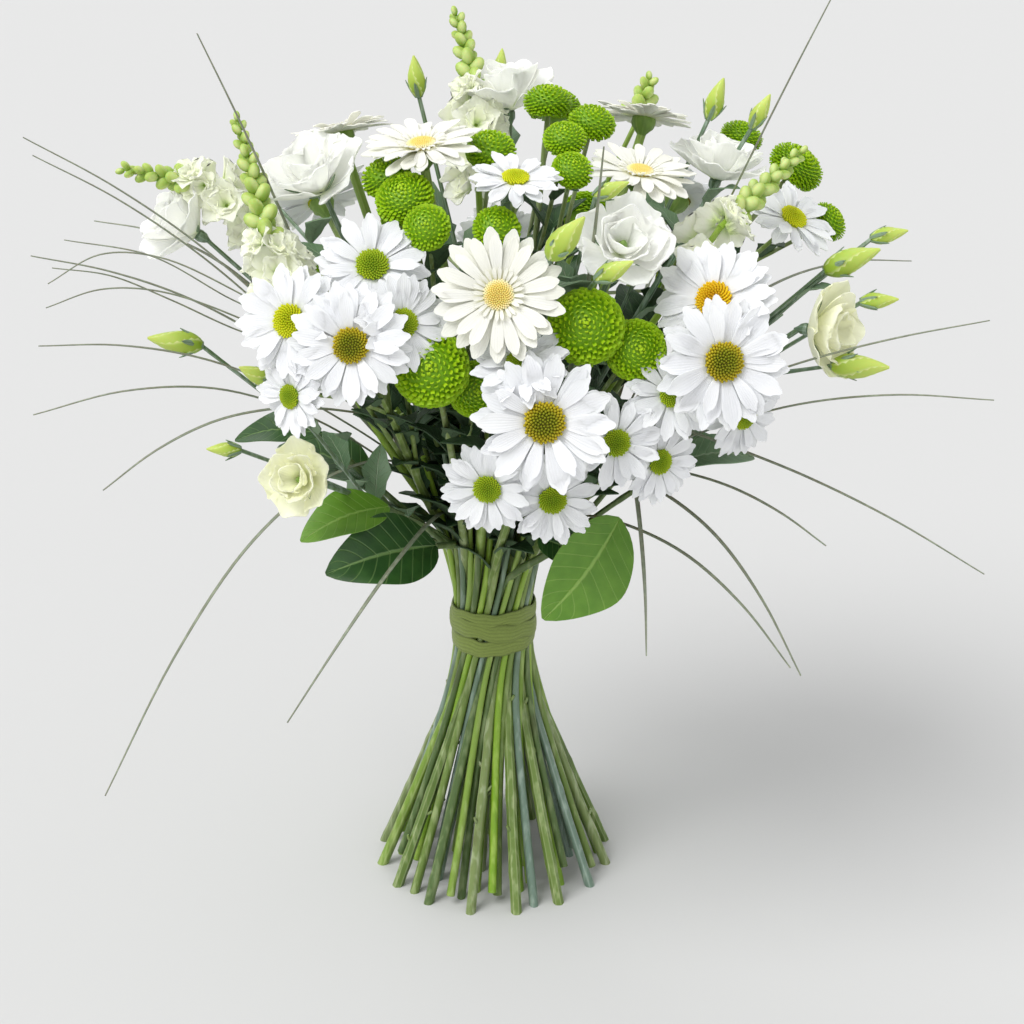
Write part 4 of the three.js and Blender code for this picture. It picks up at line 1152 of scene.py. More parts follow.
@dataclass(frozen=True)
class LeafFinish:
    """Leaves: a pale midrib and side veins on a glossy upper face, and a dull paler underside."""

    name: str
    upper: int
    light: int
    under: int
    vein: int
    gloss: float = 0.32

    def make(self) -> bpy.types.Material:
        """Makes the material."""
        b = Brush(self.name)
        along, side, face, tone = b.values("along", "side", "face", "tone")
        across = side.size()
        blotch = b.noise(120, 3)
        color = b.mix(blotch.step(0.3, 0.75) * 0.6 + tone * 0.4, self.upper, self.light)
        veins = ((along * 9.0 - across * 1.6) * (2 * math.pi)).sine().step(0.9, 1.0)
        midrib = 1 - across.step(0.02, 0.07)
        color = b.mix(veins * 0.35, color, self.vein)
        color = b.mix(midrib * 0.8, color, self.vein)
        color = b.mix(1 - face.step(-0.2, 0.2), color, self.under)
        relief = 1 - (veins * 0.5 + midrib) + b.noise(900, 2) * 0.2
        b.paint(color, (1 - face.step(-0.2, 0.2)) * 0.3 + blotch * 0.15 + self.gloss, relief, 0.0003)
        b.set(Subsurface_Weight=0.05, Subsurface_Scale=0.001, Specular_IOR_Level=0.5)
        return b.material


@dataclass(frozen=True)
class BudFinish:
    """Twisted buds: petals that fade from green at the base to cream where they overlap."""

    name: str
    base: int
    tip: int
    edge: int

    def make(self) -> bpy.types.Material:
        """Makes the material. On the mesh, side is 1 at the lapped edge of a petal."""
        b = Brush(self.name)
        along, side, tone = b.values("along", "side", "tone")
        color = b.mix(along.step(0.05, 0.95) * 0.8 + tone * 0.2, self.base, self.tip)
        color = b.mix(side.step(0.35, 1.0) * 0.7, color, self.edge)
        cloud = b.noise(500, 3, (1, 1, 0.4))
        b.paint(color, 0.45, cloud, 0.0002)
        b.set(Subsurface_Weight=0.2, Subsurface_Scale=0.002, Specular_IOR_Level=0.35)
        return b.material


@dataclass(frozen=True)
class RaffiaFinish:
    """Dry raffia: long fibres along the strip, with painted shade in its folds, and darker at its edges."""

    name: str
    strip: int
    light: int
    fold: int

    def make(self) -> bpy.types.Material:
        """Makes the material. On the mesh, side runs across the strip and tone carries the painted shade of
        its folds and the darkening at its edges.
        """
        b = Brush(self.name)
        along, side, tone = b.values("along", "side", "tone")
        line = b.node("ShaderNodeCombineXYZ", {}, {0: along * 9.0, 1: side * 14.0, 2: tone})
        fibre = b.node("ShaderNodeTexNoise", {}, {"Vector": line, "Scale": 3.0, "Detail": 5.0}, 0)
        broad = b.node("ShaderNodeTexNoise", {}, {"Vector": line, "Scale": 0.8, "Detail": 2.0}, 0)
        color = b.mix(fibre.step(0.35, 0.65) * 0.7 + broad * 0.3, self.strip, self.light)
        # painted shade in the folds, and darker at the strip's edges
        color = b.mix(tone, color, self.fold)
        b.paint(color, fibre * 0.2 + 0.45, fibre, 0.00012)
        b.set(Sheen_Weight=0.1, Specular_IOR_Level=0.35)
        return b.material


class Finishes:
    """All the materials of the bunch, each made once."""

    def __init__(self) -> None:
        """Makes the materials."""
        plans = (
            PetalFinish("daisy_petal", 0xFCFDFD, 0xF1F3F5, 0xF0F4E0, 0.22, 7),
            PetalFinish("gerbera_petal", 0xFBFBF2, 0xF3F2E2, 0xEFEFC4, 0.3, 5),
            # in the next three rows the last number is the lift, a painted glow
            PetalFinish("lisianthus_petal", 0xFDFDF8, 0xF8FAF0, 0xDCE8B0, 0.4, 11, 0.6, 0.05),
            PetalFinish("lisianthus_cream", 0xFBFBDC, 0xF5F7C6, 0xDAE27A, 0.5, 11, 0.5, 0.05),
            PetalFinish("floret_cream", 0xFCFDEC, 0xF1F7CC, 0xC8E078, 0.5, 5, 0.6, 0.06),
            FloretFinish("disc_green", 0x6E8F0C, 0x8DA812, 0xA9BE1E, (0.3, 1.0)),
            FloretFinish("disc_yellow", 0xA3A800, 0xC2CE0E, 0xD9DE1C, (0.2, 0.9)),
            FloretFinish("disc_olive", 0x6E6A08, 0x848A10, 0xC4B020, (0.4, 1.0)),
            FloretFinish("disc_gold", 0xB88604, 0xDDB408, 0xF0CC18, (0.3, 0.9)),
            FloretFinish("disc_pale", 0xE4CA68, 0xF6E284, 0xFAF4CC, (0.6, 1.0)),
            FloretFinish("pompom", 0x6C9A06, 0xB4D81C, 0x9CC814, (0.1, 0.9), 0.5),
            StemFinish("daisy_stem", 0x5A742E, 0x7E944A, 0xAAB884, 0x4A5C2C),
            StemFinish("gerbera_stem", 0x6C8C2A, 0x8CA84C, 0xB0C47C, 0x66763A, 0.44),
            StemFinish("pompom_stem", 0x6C7C4A, 0x849854, 0xB4C09A, 0x5A6034),
            StemFinish("lisianthus_stem", 0x70867A, 0x607850, 0xA8BAAC, 0x566A58, 0.36),
            StemFinish("snapdragon_stem", 0x769E22, 0x96B446, 0xAEC862, 0x628028, 0.32),
            StemFinish("leafy_stem", 0x4C6432, 0x586E3A, 0x8C9C6C, 0x4A4E2C),
            StemFinish("grass_blade", 0x848C76, 0x767E6A, 0x9CA68E, 0x6A705C, 0.4),
            StemFinish("calyx", 0x5E7E34, 0x7C9C44, 0x93B058, 0x4E6A2C, 0.5),
            LeafFinish("leaf_dark", 0x24491C, 0x3A6428, 0x5A7B46, 0x7C9C5C),
            LeafFinish("leaf_bright", 0x5A8A20, 0x72A032, 0x8EB45A, 0x98BE5C, 0.38),
            LeafFinish("leaf_grey", 0x5C7A58, 0x74906C, 0x8CA486, 0xA0B494, 0.45),
            LeafFinish("sprig_leaf", 0x1C381A, 0x30522A, 0x465E3E, 0x4E6E40, 0.45),
            BudFinish("lisianthus_bud", 0x9CB83A, 0xC9DA6C, 0xE9F0B4),
            BudFinish("snapdragon_bud", 0x86A43C, 0xB2CC66, 0xDCE89E),
            RaffiaFinish("raffia", 0x74863A, 0x93A552, 0x3C461A),
        )
        self.made = {plan.name: plan.make() for plan in plans}

    def __getitem__(self, name: str) -> bpy.types.Material:
        """A material by its name."""
        return self.made[name]


# ---------------------------------------------------------------- what grows


def around(angle: Array, radius: Array, height: Array, aside: Array | float = 0.0) -> Array:
    """Corners about +Z: their angle, radius and height, and how far they lie clockwise of the angle."""
    c, s = np.cos(angle), np.sin(angle)
    return np.stack([radius * c + aside * s, radius * s - aside * c, height], -1)


@dataclass(frozen=True)
class PetalCut:
    """Shape of a kind of petal. Lengths are shares of the petal's own length.

    width and base are its widest and its root's width, full is where it is widest, lift and curl are
    its slope at the root and the change of slope to its tip in radians, cup is how far its edges
    rise, groove is the depth of its furrows, ruffle is the height of the waves on its rim, blunt is
    the share of its width that its tip keeps, and thick is its thickness in metres.
    """

    width: float
    base: float = 0.4
    full: float = 0.66
    lift: float = 0.25
    curl: float = -0.35
    cup: float = 0.12
    groove: float = 0.04
    ruffle: float = 0.0
    blunt: float = 0.45
    thick: float = 0.0004

    def ring(
        self, form: Form, count: int, length: float, hub: float, rng: Random, wild: float, turn: float
    ) -> Array:
        """One ring of petals about +Z.

        Args:
            form: the slab that each petal is made of.
            count: number of petals.
            length: their length.
            hub: radius at which they start.
            rng: source of the small differences between them.
            wild: how much they differ.
            turn: turn of the whole ring, in radians.

        Returns:
            Corners, one row for each petal.
        """

        def vary(size: float) -> Array:
            """One small difference for each petal."""
            return rng.normal(0, wild * size, (count, 1)).clip(-1.7 * wild * size, 1.7 * wild * size)

        x, v, w = (form.corners[:, k][None] for k in range(3))
        long = length * (1 + vary(0.05))
        lift, curl = self.lift + vary(0.12), self.curl + vary(0.2)
        curl = np.where(np.abs(curl) < 0.01, 0.01, curl)
        twist = vary(0.22) * v
        azimuth = 2 * math.pi * (np.arange(count)[:, None] + vary(0.14)) / count + turn
        swell = self.base + (1 - self.base) * ease(v / self.full)
        tip = np.clip((v - self.full) / (1 - self.full), 0, 1)
        half = 0.5 * self.width * long * swell * np.sqrt(1 - (1 - self.blunt**2) * tip**2)
        v = v - 0.11 * self.width / 0.3 * x**2 * tip**2
        slope = lift + curl * v
        r = hub + long * (np.sin(slope) - np.sin(lift)) / curl
        h = long * (np.cos(lift) - np.cos(slope)) / curl
        off = self.cup * half * 2 * x**2 * (0.4 + 0.6 * v) + self.groove * half * np.cos(3 * math.pi * x)
        phase = rng.uniform(0, 2 * math.pi, (count, 1))
        off = off + self.ruffle * long * v**3 * np.sin(2.2 * math.pi * x + phase) * (0.4 + 0.6 * np.abs(x))
        off = off + w * self.thick / 2
        s = x * half
        s, off = s * np.cos(twist) - off * np.sin(twist), s * np.sin(twist) + off * np.cos(twist)
        r, h = r - np.sin(slope) * off, h + np.cos(slope) * off
        return around(azimuth, r, h, s)


@dataclass(frozen=True)
class Ring:
    """A ring of petals: cut, number, length and hub as shares of the bloom's, and rise in metres."""

    cut: PetalCut
    count: int
    share: float
    rise: float = 0.0
    hub: float = 1.0


@dataclass(frozen=True)
class StemCut:
    """A stem's number of ridges, their height as a share of its radius, and the way between joints."""

    ribs: int
    rib: float
    joints: float


class Garden:
    """The forms and finishes that all plants share, and the growing of stems, petals and florets."""

    def __init__(self, finishes: Finishes) -> None:
        """Makes the forms.

        Args:
            finishes: the materials.
        """
        self.finishes = finishes
        self.petal = Form.sheet(4, 9)
        self.wide = Form.sheet(10, 12)
        self.leaf = Form.sheet(12, 20)
        self.tongue = Form.sheet(2, 2)
        self.strip = Form.sheet(2, BLADE_STEPS)
        self.sprig = Form.sheet(4, 6)
        self.stem = Form.rod(12, STEM_STEPS)
        self.twig = Form.rod(8, TWIG_STEPS)
        self.slim = Form.rod(8, SLIM_STEPS)
        self.cup = Form.rod(16, CUP_STEPS)
        self.bud = Form.rod(20, 16)
        self.grain = Form.ball(5, 4)
        self.egg = Form.ball(8, 6)
        self.dome = Form.ball(16, 8)

    @staticmethod
    def along_path(form: Form, path: Array, radius: Callable[[Array, Array], Array]) -> Array:
        """Bends a rod along a path.

        Args:
            form: the rod.
            path: its points, one more than the rod has rings of faces.
            radius: the radius for arrays of shares along the path and of angles round it.

        Returns:
            The corners. A cut end on the table is level.
        """
        steps = len(path) - 1
        along = np.gradient(path, axis=0)
        along /= np.linalg.norm(along, axis=1, keepdims=True)
        across = np.zeros_like(path)
        u = np.array((1.0, 0.0, 0.0)) if abs(along[0][0]) < 0.9 else np.array((0.0, 1.0, 0.0))
        for i, t in enumerate(along):
            u = unit(u - t * np.dot(u, t))
            across[i] = u
        beside = np.cross(along, across)
        x, y, z = form.corners.T
        i = np.rint(z * steps).astype(int)
        angle = np.arctan2(y, x)
        reach = radius(z, angle) * np.hypot(x, y)
        out = path[i] + across[i] * (np.cos(angle) * reach)[:, None]
        out += beside[i] * (np.sin(angle) * reach)[:, None]
        if path[0][2] == 0:
            foot = i == 0
            out[foot] -= along[0] * (out[foot][:, 2:] / along[0][2])
        return out

    def grow_stems(self, growth: Growth, plant: Plant, cut: StemCut) -> None:
        """Adds the main stem and side stems of a plant, but not the blades of grass."""
        tone = spread(len(plant.node) + 7 * plant.slot[1])
        strands = plant.strands[:1] if plant.kind is Kind.GRASS else plant.strands
        for n, strand in enumerate(strands):
            form, steps = (self.twig, TWIG_STEPS) if n else (self.stem, STEM_STEPS)
            path = smooth_path(strand.points, steps)
            lengths = np.concatenate([[0], np.cumsum(np.linalg.norm(np.diff(path, axis=0), axis=1))])
            shares = np.linspace(0, 1, len(strand.radii))

            def radius(z: Array, angle: Array) -> Array:
                """Radius with ridges, and with a swelling at each joint."""
                s = np.interp(z, np.linspace(0, 1, len(lengths)), lengths)
                joint = np.abs((s / cut.joints + tone) % 1 - 0.5) * cut.joints
                swell = 1 + 0.14 * np.exp(-((joint / 0.003) ** 2))
                return np.interp(z, shares, strand.radii) * swell * (1 + cut.rib * np.cos(cut.ribs * angle))

            corners = self.along_path(form, path, radius)
            z, angle = form.corners[:, 2], np.arctan2(form.corners[:, 1], form.corners[:, 0])
            growth.add(form, corners, tone, z if n == 0 else 0.5 + 0.5 * z, np.cos(cut.ribs * angle))

    def grow_stubs(self, growth: Growth, plant: Plant, count: int) -> None:
        """Adds the short stubs that leaves have left on the lower stem."""
        path = smooth_path(plant.strands[0].points, STEM_STEPS)
        for k in range(count):
            share = 0.05 + 0.27 * spread(3 * k + 11 * plant.slot[1])
            i = int(share * STEM_STEPS)
            turn = 2 * math.pi * spread(k + plant.slot[1])
            rise = heading(path, i)
            out = unit(np.cross(rise, (math.cos(turn), math.sin(turn), 0.0)))
            tip = path[i] + out * 0.0042 + rise * 0.003
            stub = smooth_path([path[i], path[i] + out * 0.0026 + rise * 0.0008, tip], CUP_STEPS)
            corners = self.along_path(self.cup, stub, lambda z, angle: 0.0011 * (1 - 0.45 * z))
            growth.add(self.cup, corners, spread(k), 0.3, 0.4)

    def grow_sprigs(
        self, growth: Growth, strand: Strand, span: tuple[float, float], apart: float, size: float
    ) -> None:
        """Adds small notched leaves along a part of a stem.

        Args:
            growth: the mesh that they join, whose finish 1 is that of the leaves.
            strand: the stem.
            span: shares of the stem's length between which they grow.
            apart: distance between them along the stem.
            size: length of a leaf.
        """
        path = smooth_path(strand.points, STEM_STEPS)
        length = np.linalg.norm(np.diff(path, axis=0), axis=1).sum()
        count = max(round(length * (span[1] - span[0]) / apart), 1)
        first = 1000 * (path[0][0] + path[-1][1])
        x, v, w = self.sprig.corners.T
        for k in range(count):
            i = int(STEM_STEPS * (span[0] + (span[1] - span[0]) * (k + 0.5) / count))
            turn = k * GOLDEN_ANGLE + first
            level = np.array((math.cos(turn), math.sin(turn), 0.1 + 0.5 * spread(k + first)))
            out = unit(level + 0.5 * heading(path, i))
            long = size * (0.75 + 0.5 * spread(5 * k + first))
            tip = path[i] + out * long
            corners = self.leaf_corners(self.sprig, path[i], tip, np.array((0, 0, 1.0)), 0.44 * long, 0.16)
            growth.add(self.sprig, corners, spread(k + first), v, x, w, 1)

    def grow_foliage(self, growth: Growth, plant: Plant, apart: float, size: float) -> None:
        """Adds small leaves to the stems of a plant, from above the tie to below the heads."""
        for n, strand in enumerate(plant.strands):
            self.grow_sprigs(growth, strand, (0.1, 0.7) if n else (0.52, 0.86), apart, size)

    @staticmethod
    def leaf_corners(form: Form, root: Array, tip: Array, up: Array, width: float, notch: float) -> Array:
        """A leaf folded along its rib and drooping to its tip.

        Args:
            form: the slab.
            root: where its stalk starts.
            tip: its tip.
            up: the side its upper face looks to.
            width: its full width.
            notch: depth of the lobes of its edge, as a share of the half width.

        Returns:
            The corners.
        """
        x, v, w = form.corners.T
        along = tip - root
        length = np.linalg.norm(along)
        along = along / length
        beside = unit(np.cross(up, along))
        above = np.cross(along, beside)
        swell = np.maximum(np.sin(math.pi * v**0.85), 0) ** 0.8
        edge = 1 + notch * np.sin(14 * v + 0.6) * np.abs(x) ** 2
        half = width / 2 * (0.05 + 0.95 * swell) * edge
        arch = 0.13 * length * np.sin(math.pi * v) + 0.24 * half * np.abs(x) - 0.05 * half
        waves = 0.05 * half * np.sin(9 * v + 2 * x) * np.abs(x) ** 2
        veins = 0.0004 * np.cos(2 * math.pi * (9 * v - 1.6 * np.abs(x))) * (1 - np.abs(x)) * swell
        lift = arch + waves + veins + w * 0.0003
        places = root + along * (length * v)[:, None] + beside * (x * half)[:, None]
        return places + above * lift[:, None]

    def grow_cup(self, growth: Growth, place: Place, across: float, cup: float, finish: int = 0) -> None:
        """Adds the scaly green cup under a bloom."""
        x, y, z = self.cup.corners.T
        angle = np.arctan2(y, x)
        profile = np.interp(z, (0, 0.25, 0.5, 0.8, 1), (0.16, 0.42, 0.78, 1.0, 0.92))
        scale = 1 + 0.07 * np.cos(8 * angle + math.pi * np.floor(z * 4)) * np.sin(math.pi * z)
        reach = cup * profile * scale * np.hypot(x, y)
        corners = around(angle, reach, -0.22 * across * (1 - z))
        growth.add(self.cup, place.of(corners), 0.4, 0.3 + 0.5 * z, np.cos(8 * angle), finish=finish)

    def grow_disc(
        self, growth: Growth, place: Place, disc: float, rise: float, count: int, finish: int
    ) -> None:
        """Adds a dome of packed florets.

        Args:
            growth: the mesh that it joins.
            place: the bloom's place.
            disc: radius of the disc.
            rise: height of the dome over its rim.
            count: number of florets.
            finish: number of the finish.
        """
        base = 0.0012
        core = self.dome.corners * (0.95 * disc, 0.95 * disc, 0.9 * rise) + (0, 0, base)
        outward = np.hypot(*self.dome.corners[:, :2].T)
        # along 0.1 paints the core under the florets almost wholly in the painted shade colour
        growth.add(self.dome, place.of(core), 0.9, 0.1, outward, finish=finish)
        k = np.arange(count) + 0.5
        share = np.sqrt(k / count)
        size = disc * math.sqrt(1 / count) * (0.85 + 0.35 * share)
        corners = self.grain.corners[None] * np.stack([size, size, 1.7 * size], -1)[:, None]
        x, y, z = (corners[..., i] for i in range(3))
        lean = (0.75 * share)[:, None]
        x, z = x * np.cos(lean) + z * np.sin(lean), z * np.cos(lean) - x * np.sin(lean)
        x = x + (0.97 * disc * share)[:, None]
        z = z + (base + rise * np.sqrt(np.maximum(1 - 0.85 * share**2, 0.02)))[:, None]
        corners = around((k * GOLDEN_ANGLE)[:, None], x, z, -y)
        # the lower half of each grain takes the painted shade
        along = 0.5 + 0.5 * self.grain.corners[:, 2]
        growth.add(self.grain, place.of(corners), (k * GOLDEN) % 1, along, share[:, None], finish=finish)

    @staticmethod
    def grow_rings(
        growth: Growth,
        form: Form,
        place: Place,
        rings: Sequence[Ring],
        sizes: tuple[float, float],
        rng: Random,
        wild: float,
        finish: int = 0,
    ) -> None:
        """Adds the rings of petals of a bloom.

        Args:
            growth: the mesh that they join.
            form: the slab that each petal is made of.
            place: the bloom's place.
            rings: the rings.
            sizes: the length of the petals and the radius of their hub.
            rng: source of the small differences between them.
            wild: how much they differ.
            finish: number of the finish.
        """
        length, hub = sizes
        x, v, w = form.corners.T
        for ring in rings:
            corners = ring.cut.ring(
                form, ring.count, ring.share * length, ring.hub * hub, rng, wild, rng.uniform(0, 6)
            )
            corners[..., 2] += ring.rise
            growth.add(form, place.of(corners), rng.uniform(0, 1, ring.count), v, x, w, finish)


@dataclass
class Planting:
    """A kind of plant in the garden, with the plants of the layout by node name."""

    garden: Garden
    plants: dict[str, Plant]

    def piece(self, growth: Growth, name: str, looks: str, slot: str, *nodes: str) -> None:
        """Makes a piece of the bunch.

        Args:
            growth: its mesh.
            name: its name.
            looks: names of its finishes, in the order of their numbers, with spaces between.
            slot: the record's material slot.
            *nodes: the nodes that it stands for.
        """
        growth.piece(name, [self.garden.finishes[look] for look in looks.split()], slot, nodes)


@dataclass
class RootedPlants(Planting):
    """Plants with stems of their own, which may have stubs, and leaves of a size at a distance apart."""

    kind: Kind = Kind.DAISY
    stem: StemCut = StemCut(5, 0.05, 0.034)
    stubs: int = 0
    foliage: tuple[float, float] | None = None

    def rooted(self, name: str) -> tuple[Plant, Growth]:
        """The plant of a name, and a mesh that starts with its stems."""
        plant, growth = self.plants[f"{self.kind.value}_{name}"], Growth()
        self.garden.grow_stems(growth, plant, self.stem)
        self.garden.grow_stubs(growth, plant, self.stubs)
        if self.foliage:
            self.garden.grow_foliage(growth, plant, *self.foliage)
        return plant, growth


@dataclass
class DaisySprays(RootedPlants):
    """The sprays of daisies: stems with cups, discs of florets and three rings of white petals.

    length, hub and disc are shares of a bloom's width, and rise and cup are shares of the disc's
    radius. A bloom that is wider than broad has more petals.
    """

    stem: StemCut = StemCut(6, 0.05, 0.038)
    stubs: int = 3
    foliage: tuple[float, float] = (0.015, 0.031)
    lower: PetalCut = PetalCut(0.38, 0.44, 0.64, lift=0.10, curl=-0.20, groove=0.03, blunt=0.55)
    upper: PetalCut = PetalCut(0.37, 0.44, 0.64, lift=0.24, curl=-0.34, groove=0.03, blunt=0.55)
    third: PetalCut = PetalCut(0.34, 0.42, 0.64, lift=0.40, curl=-0.50, groove=0.03, blunt=0.5)
    length: float = 0.412
    hub: float = 0.105
    disc: float = 0.145
    rise: float = 0.42
    cup: float = 0.8
    florets: int = 150
    broad: float = 0.045
    wild: float = 0.75

    def petals(self, growth: Growth, bloom: Bloom, place: Place, rng: Random) -> None:
        """Adds the petals of one bloom."""
        many = 14 if bloom.across > self.broad else 12
        rings = (
            Ring(self.lower, many, 1.0),
            Ring(self.upper, many, 0.94, 0.0006),
            Ring(self.third, many // 2, 0.8, 0.001),
        )
        sizes = (self.length * bloom.across, self.hub * bloom.across)
        self.garden.grow_rings(growth, self.garden.petal, place, rings, sizes, rng, self.wild)

    def build(self) -> None:
        """Builds all the sprays."""
        garden = self.garden
        for name, blooms in DAISY_SPRAYS.items():
            plant, stems = self.rooted(name)
            discs, petals = Growth(), Growth()
            rng = np.random.default_rng([SEED, len(name), len(blooms)])
            for n, bloom in enumerate(blooms):
                place = Place.standing(bloom.at, bloom.faces, 2 * math.pi * spread(n))
                disc = self.disc * bloom.across
                garden.grow_cup(stems, place, bloom.across, self.cup * disc, 2)
                garden.grow_disc(discs, place, disc, self.rise * disc, self.florets, bloom.tone.value)
                self.petals(petals, bloom, place, rng)
            looks = "daisy_stem sprig_leaf calyx"
            self.piece(stems, f"{plant.node}_stems", looks, "daisy_green", plant.node)
            tones = " ".join(f"disc_{tone.name.lower()}" for tone in DiscTone)
            gold = [f"daisy_disc_{name}_{n + 1}" for n, bloom in enumerate(blooms) if bloom.gold]
            slot = "gold_disc" if gold else "daisy_green"
            self.piece(discs, f"{plant.node}_discs", tones, slot, plant.node, *gold)
            start = f"daisy_petals_{name}"
            white = [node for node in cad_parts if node.rpartition("_")[0] == start]
            white = [node for node in white if node.rpartition("_")[2].isdigit()]
            self.piece(petals, start, "daisy_petal", "daisy_petal", *white)


@dataclass
class Gerberas(RootedPlants):
    """The gerberas: one bloom on each thick stem, with broad cream petals in close rings.

    The rings' shares, and cup, disc and rise, are shares of a bloom's width.
    """

    kind: Kind = Kind.GERBERA
    stem: StemCut = StemCut(4, 0.02, 1.0)
    outer: PetalCut = PetalCut(0.30, 0.5, 0.7, lift=0.12, curl=-0.18, cup=0.10, groove=0.06, blunt=0.68)
    inner: PetalCut = PetalCut(0.29, 0.5, 0.7, lift=0.36, curl=-0.42, cup=0.12, groove=0.06, blunt=0.68)
    heart: PetalCut = PetalCut(0.24, 0.6, 0.7, lift=0.85, curl=-0.75, cup=0.15, groove=0.03, blunt=0.5)
    cup: float = 0.13
    disc: float = 0.115
    rise: float = 0.04
    florets: int = 170
    wild: float = 0.7

    def build(self) -> None:
        """Builds all the gerberas."""
        garden = self.garden
        rings = (
            Ring(self.outer, 19, 0.40, 0.0, 0.11),
            Ring(self.inner, 17, 0.345, 0.0008, 0.11),
            Ring(self.heart, 24, 0.12, 0.0012, 0.10),
        )
        for n, bloom in enumerate(GERBERAS):
            plant, stem = self.rooted(str(n + 1))
            rng = np.random.default_rng([SEED, 40, n])
            disc, petals = Growth(), Growth()
            place, across = Place.standing(bloom.at, bloom.faces), bloom.across
            garden.grow_cup(stem, place, across, self.cup * across, 1)
            garden.grow_rings(petals, garden.petal, place, rings, (across, across), rng, self.wild)
            garden.grow_disc(disc, place, self.disc * across, self.rise * across, self.florets, 0)
            looks = "gerbera_stem calyx"
            self.piece(stem, f"{plant.node}_stalk", looks, "gerbera_green", plant.node)
            node, slot = f"gerbera_disc_{n + 1}", "pale_disc" if bloom.gold else "gerbera_green"
            pale = [node] if bloom.gold else []
            self.piece(disc, f"{node}_florets", "disc_pale", slot, plant.node, *pale)
            node = f"gerbera_petals_{n + 1}"
            self.piece(petals, f"{node}_rings", "gerbera_petal", "gerbera_petal", node)


@dataclass
class PompomSprays(RootedPlants):
    """The sprays of green button blooms: domes of tongue-like florets packed in a spiral.

    flat is a button's height as a share of its width, and reach is how far down its florets stand,
    as an angle from its top. A button that is wider than broad has more florets.
    """

    kind: Kind = Kind.POMPOM
    stubs: int = 3
    foliage: tuple[float, float] = (0.015, 0.029)
    flat: float = 0.72
    reach: float = 2.2
    broad: float = 0.023

    def button(self, growth: Growth, bloom: Bloom, place: Place, rng: Random) -> None:
        """Adds one button bloom: a core, and florets that stand out of it."""
        radius = bloom.across / 2
        dome, form = self.garden.dome, self.garden.tongue
        core = dome.corners * (0.86 * radius, 0.86 * radius, 0.84 * radius * self.flat)
        # along 0.2 gives the core under the florets the painted shade colour
        growth.add(dome, place.of(core), 0.9, 0.2, 0.5, finish=1)
        count = 380 if bloom.across > self.broad else 240
        k = (np.arange(count) + 0.5)[:, None]
        polar = self.reach * (k / count) ** 0.56
        share = polar / self.reach
        x, v, w = (form.corners[:, i][None] for i in range(3))
        long = radius * (0.16 + 0.10 * share) * (1 + rng.normal(0, 0.07, (count, 1)))
        half = radius * (0.046 + 0.036 * share) * (0.8 + 0.5 * v - 0.4 * v**2)
        bend = 0.6 - 0.9 * share + rng.normal(0, 0.09, (count, 1))
        out = 0.82 * radius + long * v * np.cos(bend * v)
        slip = long * v * np.sin(bend * v) + w * 0.00022 + 0.35 * half * x**2 * np.sign(0.35 - share)
        angle = polar - slip / radius
        ring, height = out * np.sin(angle), out * np.cos(angle) * self.flat
        corners = around(k * GOLDEN_ANGLE, ring, height, x * half)
        # along runs from a floret's root, painted in shade, to its lit tip
        growth.add(form, place.of(corners), rng.uniform(0, 1, count), v, share, finish=1)

    def build(self) -> None:
        """Builds all the sprays."""
        garden = self.garden
        for name, heads in POMPOM_SPRAYS.items():
            plant, stems = self.rooted(name)
            rng = np.random.default_rng([SEED, 80, len(name), len(heads)])
            buttons = Growth()
            for n, head in enumerate(heads):
                place = Place.standing(head.at, head.faces, 2 * math.pi * spread(n))
                self.button(buttons, head, place, rng)
                low = place.lowered(0.22 * head.across)
                garden.grow_cup(stems, low, 0.6 * head.across, 0.17 * head.across, 2)
            looks = "pompom_stem sprig_leaf calyx"
            self.piece(stems, f"{plant.node}_stems", looks, "pompom_green", plant.node)
            self.piece(buttons, f"{plant.node}_buttons", "pompom_stem pompom", "pompom_green", plant.node)


